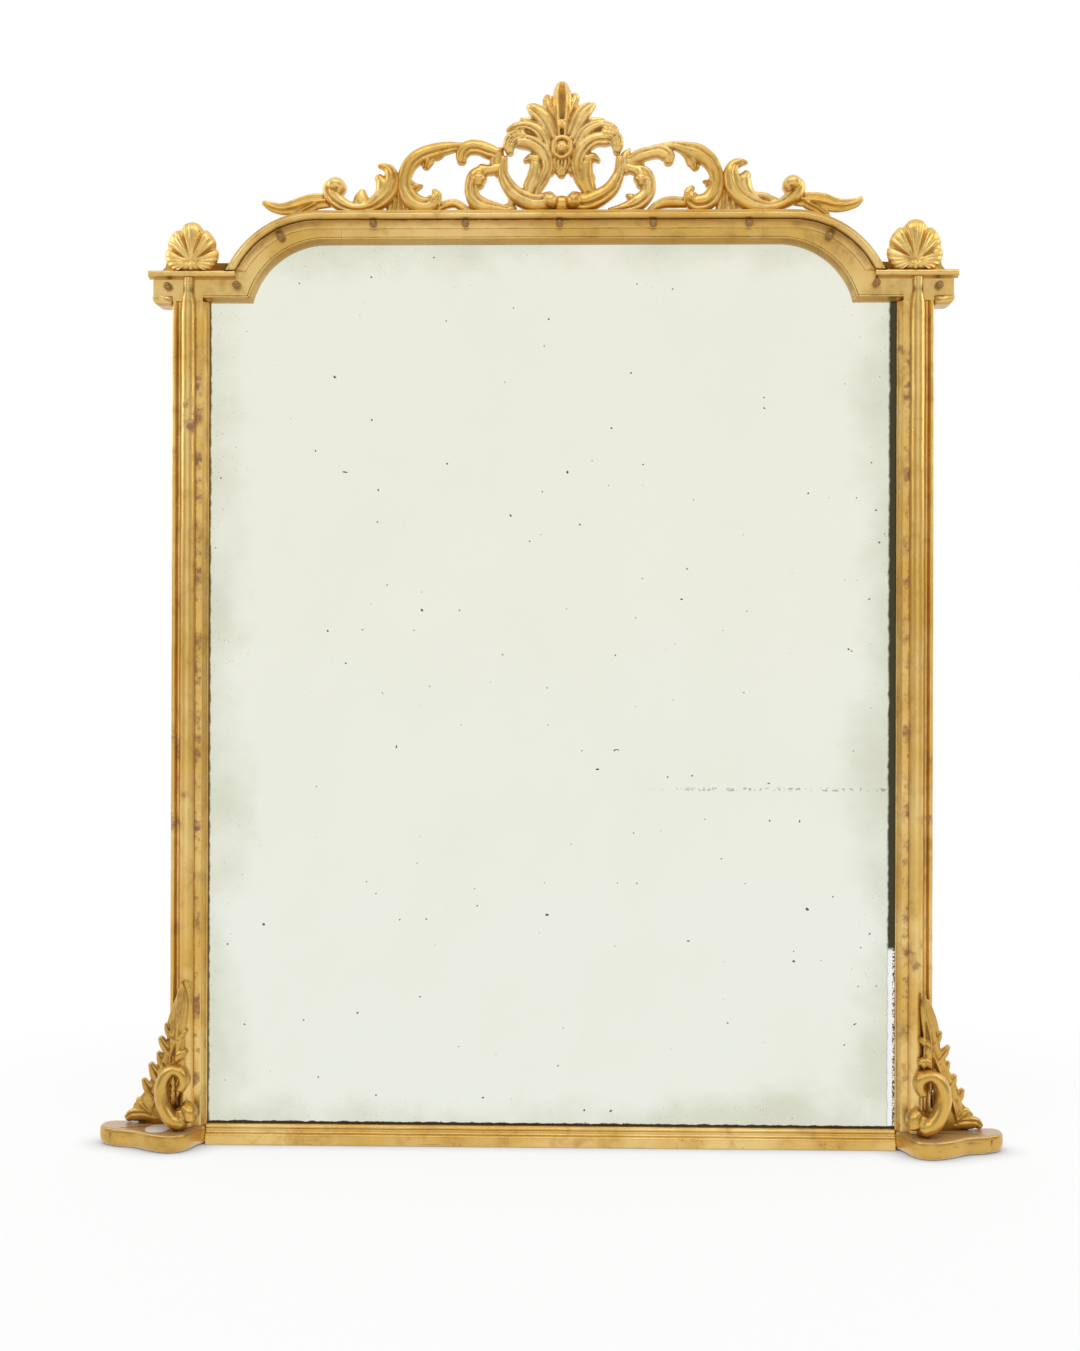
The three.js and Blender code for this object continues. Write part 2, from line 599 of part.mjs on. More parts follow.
const innerLeft = [
  { front: 30, path: [[-137, 45, 10], [-137, 57, 14], [-137, 68, 10]] },
  { front: 24, path: [[-129, 72, 9], [-144, 60, 11.5], [-149, 40, 11], [-144, 23, 11.5],
    [-130, 12, 12.5], [-110, 9, 9], [-90, 6, 6.5], [-76, 8, 4]] },
  { front: 20, path: [[-100, 109, 4], [-105, 96, 10], [-107, 81, 11], [-104, 65, 6]] },
  { front: 22, path: [[-134, 73, 9], [-120, 72, 8.5], [-105, 75, 8.5], [-92, 80, 5]] },
  { front: 22, path: [[-105, 99, 9], [-122, 105, 11], [-139, 110, 11], [-155, 109, 11],
    [-165, 99, 10], [-166, 87, 7.5]] },
  { front: 18, path: [[-129, 101, 6.5], [-119, 95, 5], [-112, 90, 2.5]] },
  { front: 24, path: [[-162, 114, 4], [-187, 110, 9], [-210, 105, 11], [-232, 98, 11.5],
    [-249, 86, 11.5], [-258, 71, 11], [-262, 53, 11], [-258, 35, 12.5], [-246, 19, 14],
    [-227, 12, 13.5], [-212, 18, 12]] },
  { front: 26, path: [[-213, 18, 11.5], [-208, 29, 8.5], [-212, 38, 4]] },
  { front: 20, path: [[-220, 101, 9], [-223, 88, 10], [-226, 79, 6.5]] },
  { front: 18, path: [[-198, 103, 6.5], [-203, 95, 4], [-209, 91, 2.5]] },
  { front: 20, path: [[-260, 51, 8.5], [-248, 44, 9], [-238, 45, 5], [-232, 48, 2]] },
  { front: 18, path: [[-205, 6, 4], [-192, 15, 6.5], [-177, 17, 6.5], [-164, 10, 6.5], [-152, 2, 5]] },
  { front: 18, path: [[-84, 32, 5], [-82, 20, 6], [-86, 10, 6], [-93, 15, 2]] },
];
const innerRight = [
  { front: 30, path: [[134, 45, 9], [134, 56, 13], [134, 67, 9]] },
  { front: 24, path: [[127, 72, 9], [141, 63, 11.5], [147, 46, 11], [143, 30, 11.5], [129, 17, 12.5],
    [112, 10, 9], [94, 6, 6], [81, 5, 3.5]] },
  { front: 20, path: [[115, 107, 2.5], [108, 96, 7.5], [107, 81, 9], [110, 68, 5]] },
  { front: 22, path: [[132, 71, 9], [120, 73, 8.5], [107, 78, 6.5], [94, 82, 5]] },
  { front: 20, path: [[125, 22, 8.5], [117, 26, 6.5], [111, 30, 3.5]] },
  { front: 22, path: [[112, 85, 6.5], [129, 94, 10], [149, 100, 10], [165, 102, 11], [178, 95, 11],
    [180, 85, 7.5]] },
  { front: 18, path: [[122, 78, 8.5], [132, 80, 5], [139, 82, 2]] },
  { front: 24, path: [[158, 110, 3.5], [185, 113, 6], [208, 107, 10], [228, 100, 13.5],
    [247, 87, 12.5], [257, 71, 11], [261, 53, 11], [257, 35, 12.5], [246, 20, 13.5], [227, 15, 13.5],
    [216, 23, 11.5]] },
  { front: 26, path: [[217, 24, 11], [214, 34, 7.5], [220, 42, 4]] },
  { front: 20, path: [[215, 98, 10], [222, 85, 11.5], [225, 76, 6.5]] },
  { front: 18, path: [[202, 106, 6], [208, 96, 4], [212, 87, 2]] },
  { front: 20, path: [[258, 55, 8.5], [249, 48, 7.5], [242, 52, 3.5], [238, 53, 2]] },
  { front: 18, path: [[147, 2, 5], [160, 12, 6.5], [177, 18, 8.5], [197, 18, 8.5], [213, 16, 6.5]] },
];
const outerLeft = [
  { front: 26, path: [[-305, 80, 2.5], [-295, 78, 5.5], [-286, 71, 9], [-282, 56, 11.5],
    [-288, 37, 13.5], [-303, 21, 13.5], [-323, 10, 10], [-346, 8, 9], [-366, 15, 11], [-380, 30, 11.5],
    [-386, 44, 10.5], [-381, 52, 6.5]] },
  { front: 26, path: [[-381, 51, 7.5], [-373, 47, 6.5], [-369, 39, 4], [-370, 33, 2]] },
  { front: 22, path: [[-305, 61, 6.5], [-299, 51, 10], [-298, 37, 11], [-308, 24, 8.5], [-320, 17, 5]] },
  { front: 20, path: [[-334, 15, 14], [-334, 28, 11], [-333, 38, 5]] },
  { front: 20, path: [[-271, 51, 3], [-271, 35, 8.5], [-271, 18, 15], [-271, -2, 21.5]] },
  { front: 16, path: [[-382, 20, 8.5], [-408, 19, 11], [-427, 17, 10], [-447, 11, 9], [-467, 8, 6.5],
    [-486, 10, 5.5], [-499, 16, 2.5]] },
  { front: 16, path: [[-444, 8, 8.5], [-446, -4, 7.5], [-448, -14, 6]] },
];
const outerRight = [
  { front: 26, path: [[310, 84, 2.5], [300, 84, 6], [288, 78, 9], [284, 61, 12.5], [290, 40, 14],
    [303, 24, 14], [325, 12, 12.5], [349, 9, 9], [371, 16, 9], [388, 30, 11], [395, 44, 10],
    [390, 53, 6.5]] },
  { front: 26, path: [[391, 52, 7.5], [381, 51, 7.5], [376, 45, 4], [378, 39, 2]] },
  { front: 22, path: [[311, 66, 6], [306, 55, 11], [308, 40, 11], [318, 27, 9], [333, 18, 6.5]] },
  { front: 18, path: [[326, 31, 4], [341, 27, 6], [358, 20, 5]] },
  { front: 20, path: [[275, 48, 3], [276, 33, 8.5], [278, 18, 16], [281, -2, 23]] },
  { front: 16, path: [[392, 22, 8.5], [417, 20, 11], [437, 17, 11.5], [457, 14, 9], [476, 12, 8],
    [492, 15, 6], [502, 21, 3.5]] },
  { front: 15, path: [[432, 12, 9], [434, 2, 8], [436, -10, 7]] },
];

// The lists are drawn to these sizes, and are stretched to the crest's own.
const crestPoints = [cartouche, innerLeft, innerRight, outerLeft, outerRight].flat();
const crestReach = outerArcCentre + crestOverrun;
const drawn = (pick) => Math.max(...crestPoints.flatMap(pick));
const crestAcross = crestReach / drawn(({ path }) => path.map(([u]) => u));
const crestUp = crestHeight / drawn(({ path }) => path.map(([, v]) => v));
const crestOut = crestRelief / drawn(({ front }) => [front]);
const onCrest = (u, v, height) => new THREE.Vector3(
  crestCentre + u * crestAcross,
  backY - crestBack - height * crestOut,
  frameTop + v * crestUp,
);

// What the crest stands on, grown by the seam: the frame's whole top edge.
const topEdge = [
  ...mirrored(outerEdge(-1, seam, earTop, 24), -1),
  ...outerEdge(1, seam, earTop, 24).reverse(),
];
const underCrest = toSolid(slab(topEdge, -railDepth, 2 * lipDepth));

function crestPiece(name, ribbons, fromX, toX) {
  const keep = toSolid(block(crestCentre + fromX, crestCentre + toX, crestBack, 2 * lipDepth, notchHeight,
    frameTop + sightTop));
  const solid = carve(ribbons, onCrest).intersect(keep).subtract(underCrest);
  addPiece(name, toGeometry(largest(solid.simplify(carvingTolerance))), 'gilt');
}

const gap = seam / 2;
const crestCut = crestReach * crestCutShare;
const crestOuterCut = crestReach * crestOuterCutShare;
crestPiece('crest_cartouche', cartouche, -crestCut + gap, crestCut - gap);
crestPiece('crest_inner_left', innerLeft, -crestOuterCut + gap, -crestCut - gap);
crestPiece('crest_inner_right', innerRight, crestCut + gap, crestOuterCut - gap);
crestPiece('crest_outer_left', outerLeft, -frameHalfWidth, -crestOuterCut - gap);
crestPiece('crest_outer_right', outerRight, crestOuterCut + gap, frameHalfWidth);

// ---------------------------------------------------------------- ear plinths and corner shells
const plinthTop = earTop + plinthHeight;
const shellPlane = plinthDepth + seam;
const shellCentre = sightHalfWidth + pilasterWidth / 2;
const ribFront = 18;              // highest front in the lists below
const shells = {
  left: [
    { front: 14, path: [[36, 13, 5], [19, 13, 8.5], [-1, 14, 9], [-23, 13, 8.5], [-40, 16, 6]] },
    { front: 18, path: [[-2, -2, 8], [-2, 5, 8], [-2, 13, 6]] },
    { front: 18, path: [[-1, 17, 8.5], [-1, 45, 13.5], [-1, 69, 14], [-1, 80, 9]] },
    { front: 17, path: [[4, 17, 6.5], [14, 40, 11.5], [23, 56, 12.5], [28, 62, 7.5]] },
    { front: 17, path: [[-8, 17, 6.5], [-18, 40, 11.5], [-24, 57, 12.5], [-28, 64, 8.5]] },
    { front: 16, path: [[6, 14, 6.5], [20, 23, 11], [31, 27, 10], [35, 26, 6.5]] },
    { front: 16, path: [[-13, 14, 6.5], [-24, 25, 11], [-34, 30, 11], [-38, 28, 7.5]] },
  ],
  right: [
    { front: 14, path: [[-42, 15, 5], [-26, 13, 8.5], [-4, 14, 9], [15, 14, 8.5], [33, 18, 5]] },
    { front: 18, path: [[-5, -2, 8], [-5, 5, 8], [-5, 13, 6]] },
    { front: 18, path: [[-4, 17, 8.5], [-4, 49, 13.5], [-3, 70, 14], [-1, 83, 8.5]] },
    { front: 17, path: [[2, 19, 6.5], [13, 42, 11.5], [22, 58, 11.5], [25, 65, 7.5]] },
    { front: 17, path: [[-11, 19, 6.5], [-22, 44, 12.5], [-28, 62, 12.5], [-29, 69, 8.5]] },
    { front: 16, path: [[4, 19, 6.5], [19, 30, 11], [30, 35, 11], [34, 33, 7.5]] },
    { front: 16, path: [[-14, 17, 6.5], [-28, 29, 11], [-38, 35, 10], [-42, 34, 7.5]] },
  ],
};
const plinthFoot = earTop + seam;
for (const [name, side] of sides) {
  const radius = outerArcRadius + seam;
  const onArc = (z) => arcCentre(side) + Math.sqrt(radius ** 2 - (z - outerArcLevel) ** 2);
  const end = frameHalfWidth + plinthReach;
  const plinth = [
    [onArc(plinthFoot), plinthFoot],
    [end, plinthFoot],
    [end - 1, plinthFoot + plinthHeight * 0.45],
    [end - 5, plinthFoot + plinthHeight * 0.7],
    [end - 6, plinthTop],
    [onArc(plinthTop), plinthTop],
    [onArc((plinthFoot + plinthTop) / 2), (plinthFoot + plinthTop) / 2],
  ];
  addPiece(`shell_plinth_${name}`, slab(mirrored(plinth, side), 0, plinthDepth), 'giltDark');

  // The shell stands on the ear's lip, and its flat back rests on the plinth.
  const place = (u, v, height) => new THREE.Vector3(
    side * (shellCentre + u),
    backY - shellPlane - height,
    earTop + v,
  );
  const rise = shellFront - shellPlane - ribFront;
  const ribs = shells[name].map((rib) => ({ ...rib, front: rib.front + rise }));
  const keep = toSolid(block(
    side * sightHalfWidth,
    side * (frameHalfWidth + earOverhang),
    shellPlane,
    2 * lipDepth,
    plinthFoot,
    frameTop + 10,
  ));
  addPiece(`corner_shell_${name}`, toGeometry(largest(carve(ribs, place).intersect(keep)
    .simplify(carvingTolerance))), 'gilt');
}

// ---------------------------------------------------------------- shelf brackets
// A serrated leaf climbs the outer edge of each pilaster from the shelf, with a C-scroll in
// front of it. Points are [out from the pilaster's edge, above the shelf, half width].
const leafBackAtFoot = 6;
const leafBackAtTop = 58;
const leafTop = 220;
const leafCrown = 24;
const leafReach = 20;             // what the leaf is cut clear of runs on this far past the pilaster
const lobeDrop = 4;               // the side lobes lie this much lower than the stem
const columnInner = sightHalfWidth + columnInset;
const leaves = {
  left: [
    [[-23, 243, 1.5], [-28, 222, 5.5], [-27, 199, 8.5], [-21, 171, 11], [-12, 142, 12.5], [-1, 109, 13.5],
      [14, 71, 13.5], [28, 37, 11.5], [38, 8, 9]],
    [[-12, 140, 8.5], [-1, 159, 7.5], [4, 171, 3.5]],
    [[-6, 114, 8.5], [7, 133, 8.5], [14, 147, 5]],
    [[5, 90, 10], [14, 109, 8.5], [19, 121, 4]],
    [[15, 64, 11.5], [26, 87, 10], [33, 101, 5]],
    [[25, 38, 11.5], [39, 61, 9], [46, 74, 4.5]],
    [[34, 18, 10], [48, 32, 8.5], [58, 40, 4]],
    [[27, 9, 9], [45, 14, 11.5], [66, 13, 11], [76, 8, 7]],
    [[-19, 151, 6.5], [-27, 159, 6], [-32, 163, 3.5]],
    [[-14, 116, 8.5], [-25, 125, 8.5], [-31, 128, 5]],
    [[-9, 96, 10], [-22, 99, 8.5], [-29, 96, 5]],
  ],
  right: [
    [[-16, 231, 2], [-17, 212, 6], [-13, 190, 9], [-7, 164, 11.5], [-2, 138, 13.5], [9, 109, 14],
      [24, 74, 14], [37, 43, 13.5], [46, 8, 10]],
    [[0, 143, 8.5], [8, 159, 6.5], [12, 167, 3.5]],
    [[9, 118, 9], [19, 133, 7.5], [26, 143, 3.5]],
    [[15, 93, 9], [23, 107, 6.5], [27, 116, 3.5]],
    [[24, 69, 11], [34, 83, 8.5], [38, 93, 4]],
    [[35, 43, 11], [46, 57, 8.5], [52, 68, 4.5]],
    [[44, 19, 10], [56, 29, 7.5], [63, 33, 4]],
    [[39, 9, 9], [58, 12, 11.5], [75, 12, 10], [84, 6, 6]],
    [[-4, 145, 6.5], [-15, 154, 7.5], [-21, 157, 5]],
    [[-2, 114, 9], [-16, 120, 10], [-23, 121, 6]],
    [[1, 99, 10], [-9, 102, 6.5], [-15, 100, 3.5]],
  ],
};
const scrolls = {
  left: [[-28, 75, 8], [-30, 91, 9], [-18, 102, 9], [-3, 94, 10], [5, 76, 10.5], [6, 55, 10.5], [1, 35, 11],
    [-11, 17, 11.5], [-27, 12, 13], [-39, 26, 13]],
  right: [[-25, 78, 8], [-27, 93, 10], [-15, 101, 9], [2, 95, 10.5], [12, 78, 11.5], [13, 56, 12.5],
    [7, 36, 13], [-5, 19, 14.5], [-22, 12, 15.5], [-35, 23, 13]],
};
const scrollBack = columnDepth + seam;
const scrollFront = 97;
const scrollOut = 20;             // the scroll stays within this of the pilaster's edge
const scrollTop = 110;
for (const [name, side] of sides) {
  const shelfTop = shelfHeight + seam;
  const leafBack = (v) => THREE.MathUtils
    .mapLinear(THREE.MathUtils.clamp(v, 0, leafTop), 0, leafTop, leafBackAtFoot, leafBackAtTop);
  const onLeaf = (u, v, height) => new THREE.Vector3(
    side * (frameHalfWidth + u),
    backY - leafBack(v) - height,
    shelfHeight + v,
  );
  const onScroll = (u, v, height) => new THREE.Vector3(
    side * (frameHalfWidth + u),
    backY - scrollBack - height,
    shelfHeight + v,
  );

  // What the bracket leans on: the pilaster with its column, and the shelf's top.
  const clear = join([
    toSolid(block(side * (sightHalfWidth - leafReach), side * (frameHalfWidth + seam), -trimmed - leafReach,
      boardDepth + beadRise + seam, 0, notchHeight)),
    toSolid(block(side * (columnInner - seam), side * (columnInner + columnWidth + seam), 0,
      columnDepth + seam, 0, notchHeight)),
    toSolid(block(0, side * 2 * frameHalfWidth, -trimmed - leafReach, 4 * railDepth, 0, shelfTop)),
  ]);
  const scrollRoom = toSolid(block(side * sightHalfWidth, side * (frameHalfWidth + scrollOut),
    scrollBack - seam, 4 * railDepth, 0, shelfHeight + scrollTop));
  const ribbons = leaves[name].map((path, i) => ({ front: i ? leafCrown - lobeDrop : leafCrown, path }));
  const leaf = carve(ribbons, onLeaf).subtract(clear).subtract(scrollRoom);
  addPiece(`bracket_leaf_${name}`, toGeometry(largest(leaf.simplify(carvingTolerance))), 'gilt');

  // The scroll is rounded at the back too, but for a flat where it meets the leaf and column.
  const scrollKeep = toSolid(block(side * sightHalfWidth, side * 2 * frameHalfWidth, scrollBack,
    4 * railDepth, shelfTop, notchHeight));
  const band = [{ front: scrollFront - scrollBack, path: scrolls[name] }];
  const scroll = carve(band, onScroll).intersect(scrollKeep);
  addPiece(`bracket_scroll_${name}`, toGeometry(largest(scroll.simplify(carvingTolerance))), 'gilt');
}

// ---------------------------------------------------------------- plate blocks and hangers
const blockHeight = 60;
const blockLevel = 760;
const blockWidth = 14;
for (const [name, side] of sides) {
  addPiece(`glass_block_${name}`, block(
    side * (sightHalfWidth + sightWidth),
    side * (sightHalfWidth + sightWidth - blockWidth),
    backRebate,
    glassFront - glassThickness - seam,
    blockLevel - blockHeight / 2,
    blockLevel + blockHeight / 2,
  ), 'pine');
}

// A hanger: a plate screwed to the shoulder's back, with an eye that a ring swings in.
const eyeInner = ringWire / 2 + seam;
const eyeOuter = eyeInner + 1.6;
const eyeWidth = 3.2;
const plateHeight = 26;
const plateWidth = 14;
const hangerTilt = 40;            // the hangers point outwards along the shoulder, in degrees
const ringLean = 12;              // degrees forward of upright
const axisOffset = ringRadius;    // the eye lies this far inside the ring's middle
const screwLevel = -plateHeight * 0.62;
const screwRadius = 2;
const screwHeadRadius = 3.6;
const screwHoleRadius = 2.3;
const circle = (radius) => arc(0, 0, radius, 0, 360, 12).slice(0, -1)
  .map(([x, y]) => new THREE.Vector2(x, y));
for (const [name, side] of sides) {
  const tilt = THREE.MathUtils.degToRad(hangerTilt);
  // Local frame: +X along the hinge, +Z outwards past the frame's edge, +Y to the back.
  const seat = new THREE.Matrix4()
    .makeTranslation(side * (outerArcCentre + hangerOut), backY + seam, frameTop - hangerDrop)
    .multiply(new THREE.Matrix4().makeRotationY(side * tilt))
    .multiply(new THREE.Matrix4().makeTranslation(0, 0, -axisOffset));
  const axisY = hangerPlateThickness + eyeInner;

  const sheet = new THREE.BoxGeometry(plateWidth, hangerPlateThickness, plateHeight);
  sheet.translate(0, hangerPlateThickness / 2, -plateHeight / 2 - 0.5);
  const eye = new THREE.Shape(circle(eyeOuter));
  eye.holes.push(new THREE.Path(circle(eyeInner)));
  const tube = new THREE.ExtrudeGeometry(eye, { depth: eyeWidth, bevelEnabled: false });
  tube.rotateY(Math.PI / 2);
  tube.translate(-eyeWidth / 2, axisY, 0);
  const floor = toSolid(new THREE.BoxGeometry(100, 20, 100).translate(0, -10, 0));
  const bore = new THREE.CylinderGeometry(eyeInner, eyeInner, 4 * eyeWidth, 12);
  bore.rotateZ(Math.PI / 2);
  bore.translate(0, axisY, 0);
  const screwHole = new THREE.CylinderGeometry(screwHoleRadius, screwHoleRadius, plateHeight, 12);
  screwHole.translate(0, 0, screwLevel);
  const plate = join([toSolid(sheet), toSolid(tube)]).subtract(floor).subtract(toSolid(bore))
    .subtract(toSolid(screwHole));
  addPiece(`hanger_plate_${name}`, toGeometry(plate).applyMatrix4(seat), 'iron');

  // Screw: a low domed head on the plate over a shank that stops at the board.
  const screwProfile = [
    [0, 0],
    [screwRadius, 0],
    [screwRadius, hangerPlateThickness + seam],
    [screwHeadRadius, hangerPlateThickness + seam],
    [screwHeadRadius - 0.2, hangerPlateThickness + 0.9],
    [0, hangerPlateThickness + 1.6],
  ];
  const screw = new THREE.LatheGeometry(screwProfile.map(([r, h]) => new THREE.Vector2(r, h)), 12);
  screw.translate(0, 0, screwLevel);
  addPiece(`hanger_screw_${name}`, outward(stripped(screw)).applyMatrix4(seat), 'iron');

  // The left ring stands up, leaning on the board's edge; the right one hangs folded down.
  const ring = new THREE.TorusGeometry(ringRadius, ringWire / 2 - 0.1, 6, 24);
  ring.rotateX(Math.PI / 2);
  ring.translate(0, 0, axisOffset);
  const fold = THREE.MathUtils.degToRad(side < 0 ? ringLean : -ringFold);
  ring.rotateX(fold);
  ring.translate(0, axisY, 0);
  addPiece(`hanger_ring_${name}`, outward(stripped(ring)).applyMatrix4(seat), 'iron');
}

export default group;
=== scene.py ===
"""Looks of a giltwood pier mirror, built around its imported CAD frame."""
import math

import bpy
import numpy as np
from mathutils import Matrix, Vector


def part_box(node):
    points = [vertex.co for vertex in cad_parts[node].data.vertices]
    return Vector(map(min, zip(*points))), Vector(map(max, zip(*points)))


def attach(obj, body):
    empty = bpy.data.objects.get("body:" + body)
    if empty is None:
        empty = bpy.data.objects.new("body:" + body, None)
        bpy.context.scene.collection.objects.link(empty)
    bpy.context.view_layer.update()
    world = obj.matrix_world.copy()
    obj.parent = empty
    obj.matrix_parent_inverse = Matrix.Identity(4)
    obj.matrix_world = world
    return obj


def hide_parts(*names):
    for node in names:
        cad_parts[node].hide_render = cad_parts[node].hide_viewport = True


bl_info = {
    "name": "Giltwood pier mirror",
    "version": (1, 0, 0),
    "blender": (4, 5, 0),
    "location": "View3D > Sidebar > Pier Mirror",
    "description": "Gilding, carving, old glass and boards of a pier mirror",
    "category": "Object",
}

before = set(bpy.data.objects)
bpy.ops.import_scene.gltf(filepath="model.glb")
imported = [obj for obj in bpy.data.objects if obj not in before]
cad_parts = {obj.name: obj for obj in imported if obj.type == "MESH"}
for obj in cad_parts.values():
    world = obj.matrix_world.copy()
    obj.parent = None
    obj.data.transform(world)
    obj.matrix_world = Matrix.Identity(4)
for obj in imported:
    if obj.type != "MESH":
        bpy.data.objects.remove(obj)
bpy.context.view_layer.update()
MM = 0.001


def edge(node, corner, axis):
    """One face of a CAD node's box, in millimetres: corner 0 is low, 1 is high."""
    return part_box(node)[corner][axis] / MM


# ------------------------------------------------------------------ places, in millimetres
SIDES = (("left", -1), ("right", 1))
SEAM = 0.3                        # between two pieces
BACK = edge("frieze_head", 1, 1)
SIGHT_HALF = edge("pilaster_right", 0, 0)
FRAME_HALF = edge("pilaster_right", 1, 0)
FRAME_TOP = edge("frieze_head", 1, 2)
HEAD_HALF = edge("lip_head", 1, 0)
NOTCH = edge("pilaster_right", 1, 2) + SEAM
EAR_TOP = edge("lip_ear_right", 1, 2)
SHELF_TOP = edge("shelf_right", 1, 2)
RAIL_TOP = edge("base_rail", 1, 2)
SIGHT_TOP = edge("sight_head", 0, 2)
SIGHT_WIDTH = edge("sight_head", 1, 2) - SIGHT_TOP
BOARD_DEPTH = BACK - edge("frieze_head", 0, 1)
LIP_DEPTH = BACK - edge("lip_head", 0, 1)
COLUMN_DEPTH = BACK - edge("column_right", 0, 1)
PLATE_DEPTH = 26.3                # front of the plate from the back, with its seam
STILE_DEPTH = 34.3
BEAD_RISE = 4.6                   # the pilaster's bead over the boards, with its seam
SIGHT_RADIUS = 128.0
SIGHT_CENTRE = 376.0
OUTER_RADIUS = 170.0
OUTER_CENTRE = {-1: -389.0, 1: 397.0}
CREST_CENTRE = 14.0
CREST_BACK = 6.0


# ------------------------------------------------------------------ mesh making
def catmull(points, steps):
    """A smooth curve through the points, with this many steps between two of them."""
    points = np.asarray(points, float)
    ends = [2 * points[0] - points[1], *points, 2 * points[-1] - points[-2]]
    out = []
    for a, b, c, d in zip(ends, ends[1:], ends[2:], ends[3:]):
        for t in np.arange(steps) / steps:
            out.append(0.5 * (2 * b + (c - a) * t + (2 * a - 5 * b + 4 * c - d) * t ** 2
                              + (3 * b - a - 3 * c + d) * t ** 3))
    out.append(points[-1])
    return np.array(out)


def arc(cx, cz, radius, start, end, steps):
    """Points of an arc between two angles in degrees."""
    angles = np.radians(np.linspace(start, end, steps + 1))
    return np.stack([cx + radius * np.cos(angles), cz + radius * np.sin(angles)], 1)


def rounded(profile, radius, steps=4, closed=True):
    """The profile with each corner turned into a small arc."""
    profile = np.asarray(profile, float)
    out = []
    count = len(profile)
    for i, here in enumerate(profile):
        if not closed and i in (0, count - 1):
            out.append(here)
            continue
        before = profile[i - 1] - here
        after = profile[(i + 1) % count] - here
        reach = min(radius, 0.45 * np.linalg.norm(before), 0.45 * np.linalg.norm(after))
        start = here + before / max(np.linalg.norm(before), 1e-9) * reach
        end = here + after / max(np.linalg.norm(after), 1e-9) * reach
        for t in np.linspace(0, 1, steps + 1):
            out.append((1 - t) ** 2 * start + 2 * t * (1 - t) * here + t ** 2 * end)
    return np.array(out)


def lofted(rings):
    """Vertices and faces of a closed body through rings of equal length."""
    rings = np.asarray(rings, float)
    count, size = rings.shape[:2]
    verts = rings.reshape(-1, 3)
    faces = []
    for r in range(count - 1):
        for i in range(size):
            j = (i + 1) % size
            faces.append((r * size + i, r * size + j, (r + 1) * size + j, (r + 1) * size + i))
    faces.append(tuple(range(size))[::-1])
    faces.append(tuple((count - 1) * size + i for i in range(size)))
    middle = verts.mean(0)
    volume = 0.0
    for face in faces:
        a = verts[face[0]] - middle
        for b, c in zip(face[1:], face[2:]):
            volume += np.dot(a, np.cross(verts[b] - middle, verts[c] - middle))
    if volume < 0:
        faces = [face[::-1] for face in faces]
    return verts, faces


def joined(bodies):
    """Several (vertices, faces) bodies as one."""
    verts, faces, shift = [], [], 0
    for body_verts, body_faces in bodies:
        verts.append(body_verts)
        faces += [tuple(i + shift for i in face) for face in body_faces]
        shift += len(body_verts)
    return np.concatenate(verts), faces


def new_piece(name, body):
    """A smooth Blender object from millimetre vertices and faces."""
    verts, faces = body
    mesh = bpy.data.meshes.new(name)
    mesh.from_pydata([tuple(v) for v in np.asarray(verts) * MM], [], faces)
    mesh.update()
    mesh.shade_smooth()
    piece = bpy.data.objects.new(name, mesh)
    bpy.context.scene.collection.objects.link(piece)
    return piece


def coords(mesh):
    out = np.empty(len(mesh.vertices) * 3, np.float32)
    mesh.vertices.foreach_get("co", out)
    return out.reshape(-1, 3)


def set_coords(mesh, points):
    mesh.vertices.foreach_set("co", np.ascontiguousarray(points, np.float32).ravel())
    mesh.update()


def mesh_edges(mesh):
    out = np.empty(len(mesh.edges) * 2, np.int32)
    mesh.edges.foreach_get("vertices", out)
    return out.reshape(-1, 2)


def spread(values, edges, passes):
    """Each vertex's value averaged with its neighbours', this many times."""
    count = len(values)
    a, b = edges.T
    near = np.bincount(a, minlength=count) + np.bincount(b, minlength=count)
    near = np.maximum(near, 1)
    for _ in range(passes):
        columns = []
        for k in range(values.shape[1]):
            total = np.bincount(a, values[b, k], count) + np.bincount(b, values[a, k], count)
            columns.append(0.5 * values[:, k] + 0.5 * total / near)
        values = np.stack(columns, 1)
    return values


def mark_relief(piece, passes, depth, broad=0):
    """Stores how far each point stands proud ("crown") or lies sunk ("hollow"), from 0 to 1.

    Broad passes also count the ground between forms as sunk.
    """
    mesh = piece.data
    points = coords(mesh).astype(float) / MM
    edges = mesh_edges(mesh)
    normals = np.empty(len(mesh.vertices) * 3, np.float32)
    mesh.vertices.foreach_get("normal", normals)
    relief = ((points - spread(points, edges, passes)) * normals.reshape(-1, 3)).sum(1) / depth
    relief = spread(relief[:, None], edges, 1)[:, 0]
    sunk = -relief
    if broad:
        wide = ((points - spread(points, edges, broad)) * normals.reshape(-1, 3)).sum(1) / (3.5 * depth)
        sunk = np.maximum(sunk, -wide)
    for name, values in (("crown", relief), ("hollow", sunk)):
        layer = mesh.attributes.new(name, "FLOAT", "POINT")
        layer.data.foreach_set("value", np.clip(values, 0, 1).astype(np.float32))


def waver(points, scale, amount):
    """A slow hand-made unevenness, the same each run."""
    p = points / scale
    out = np.empty_like(p)
    for k, (i, j) in enumerate(((1, 2), (2, 0), (0, 1))):
        out[:, k] = (np.sin(p[:, i] * 1.7 + 1.3 * k) * np.cos(p[:, j] * 1.3 + 0.7 * k)
                     + 0.5 * np.sin(p[:, i] * 4.1 + 2.1 + k) * np.cos(p[:, j] * 3.7 + k))
    return points + out * amount


def flattened(piece):
    """The evaluated object as a plain mesh, without its modifiers."""
    depsgraph = bpy.context.evaluated_depsgraph_get()
    mesh = bpy.data.meshes.new_from_object(piece.evaluated_get(depsgraph))
    piece.modifiers.clear()
    old = piece.data
    piece.data = mesh
    if isinstance(old, bpy.types.Mesh):
        bpy.data.meshes.remove(old)
    mesh.name = piece.name


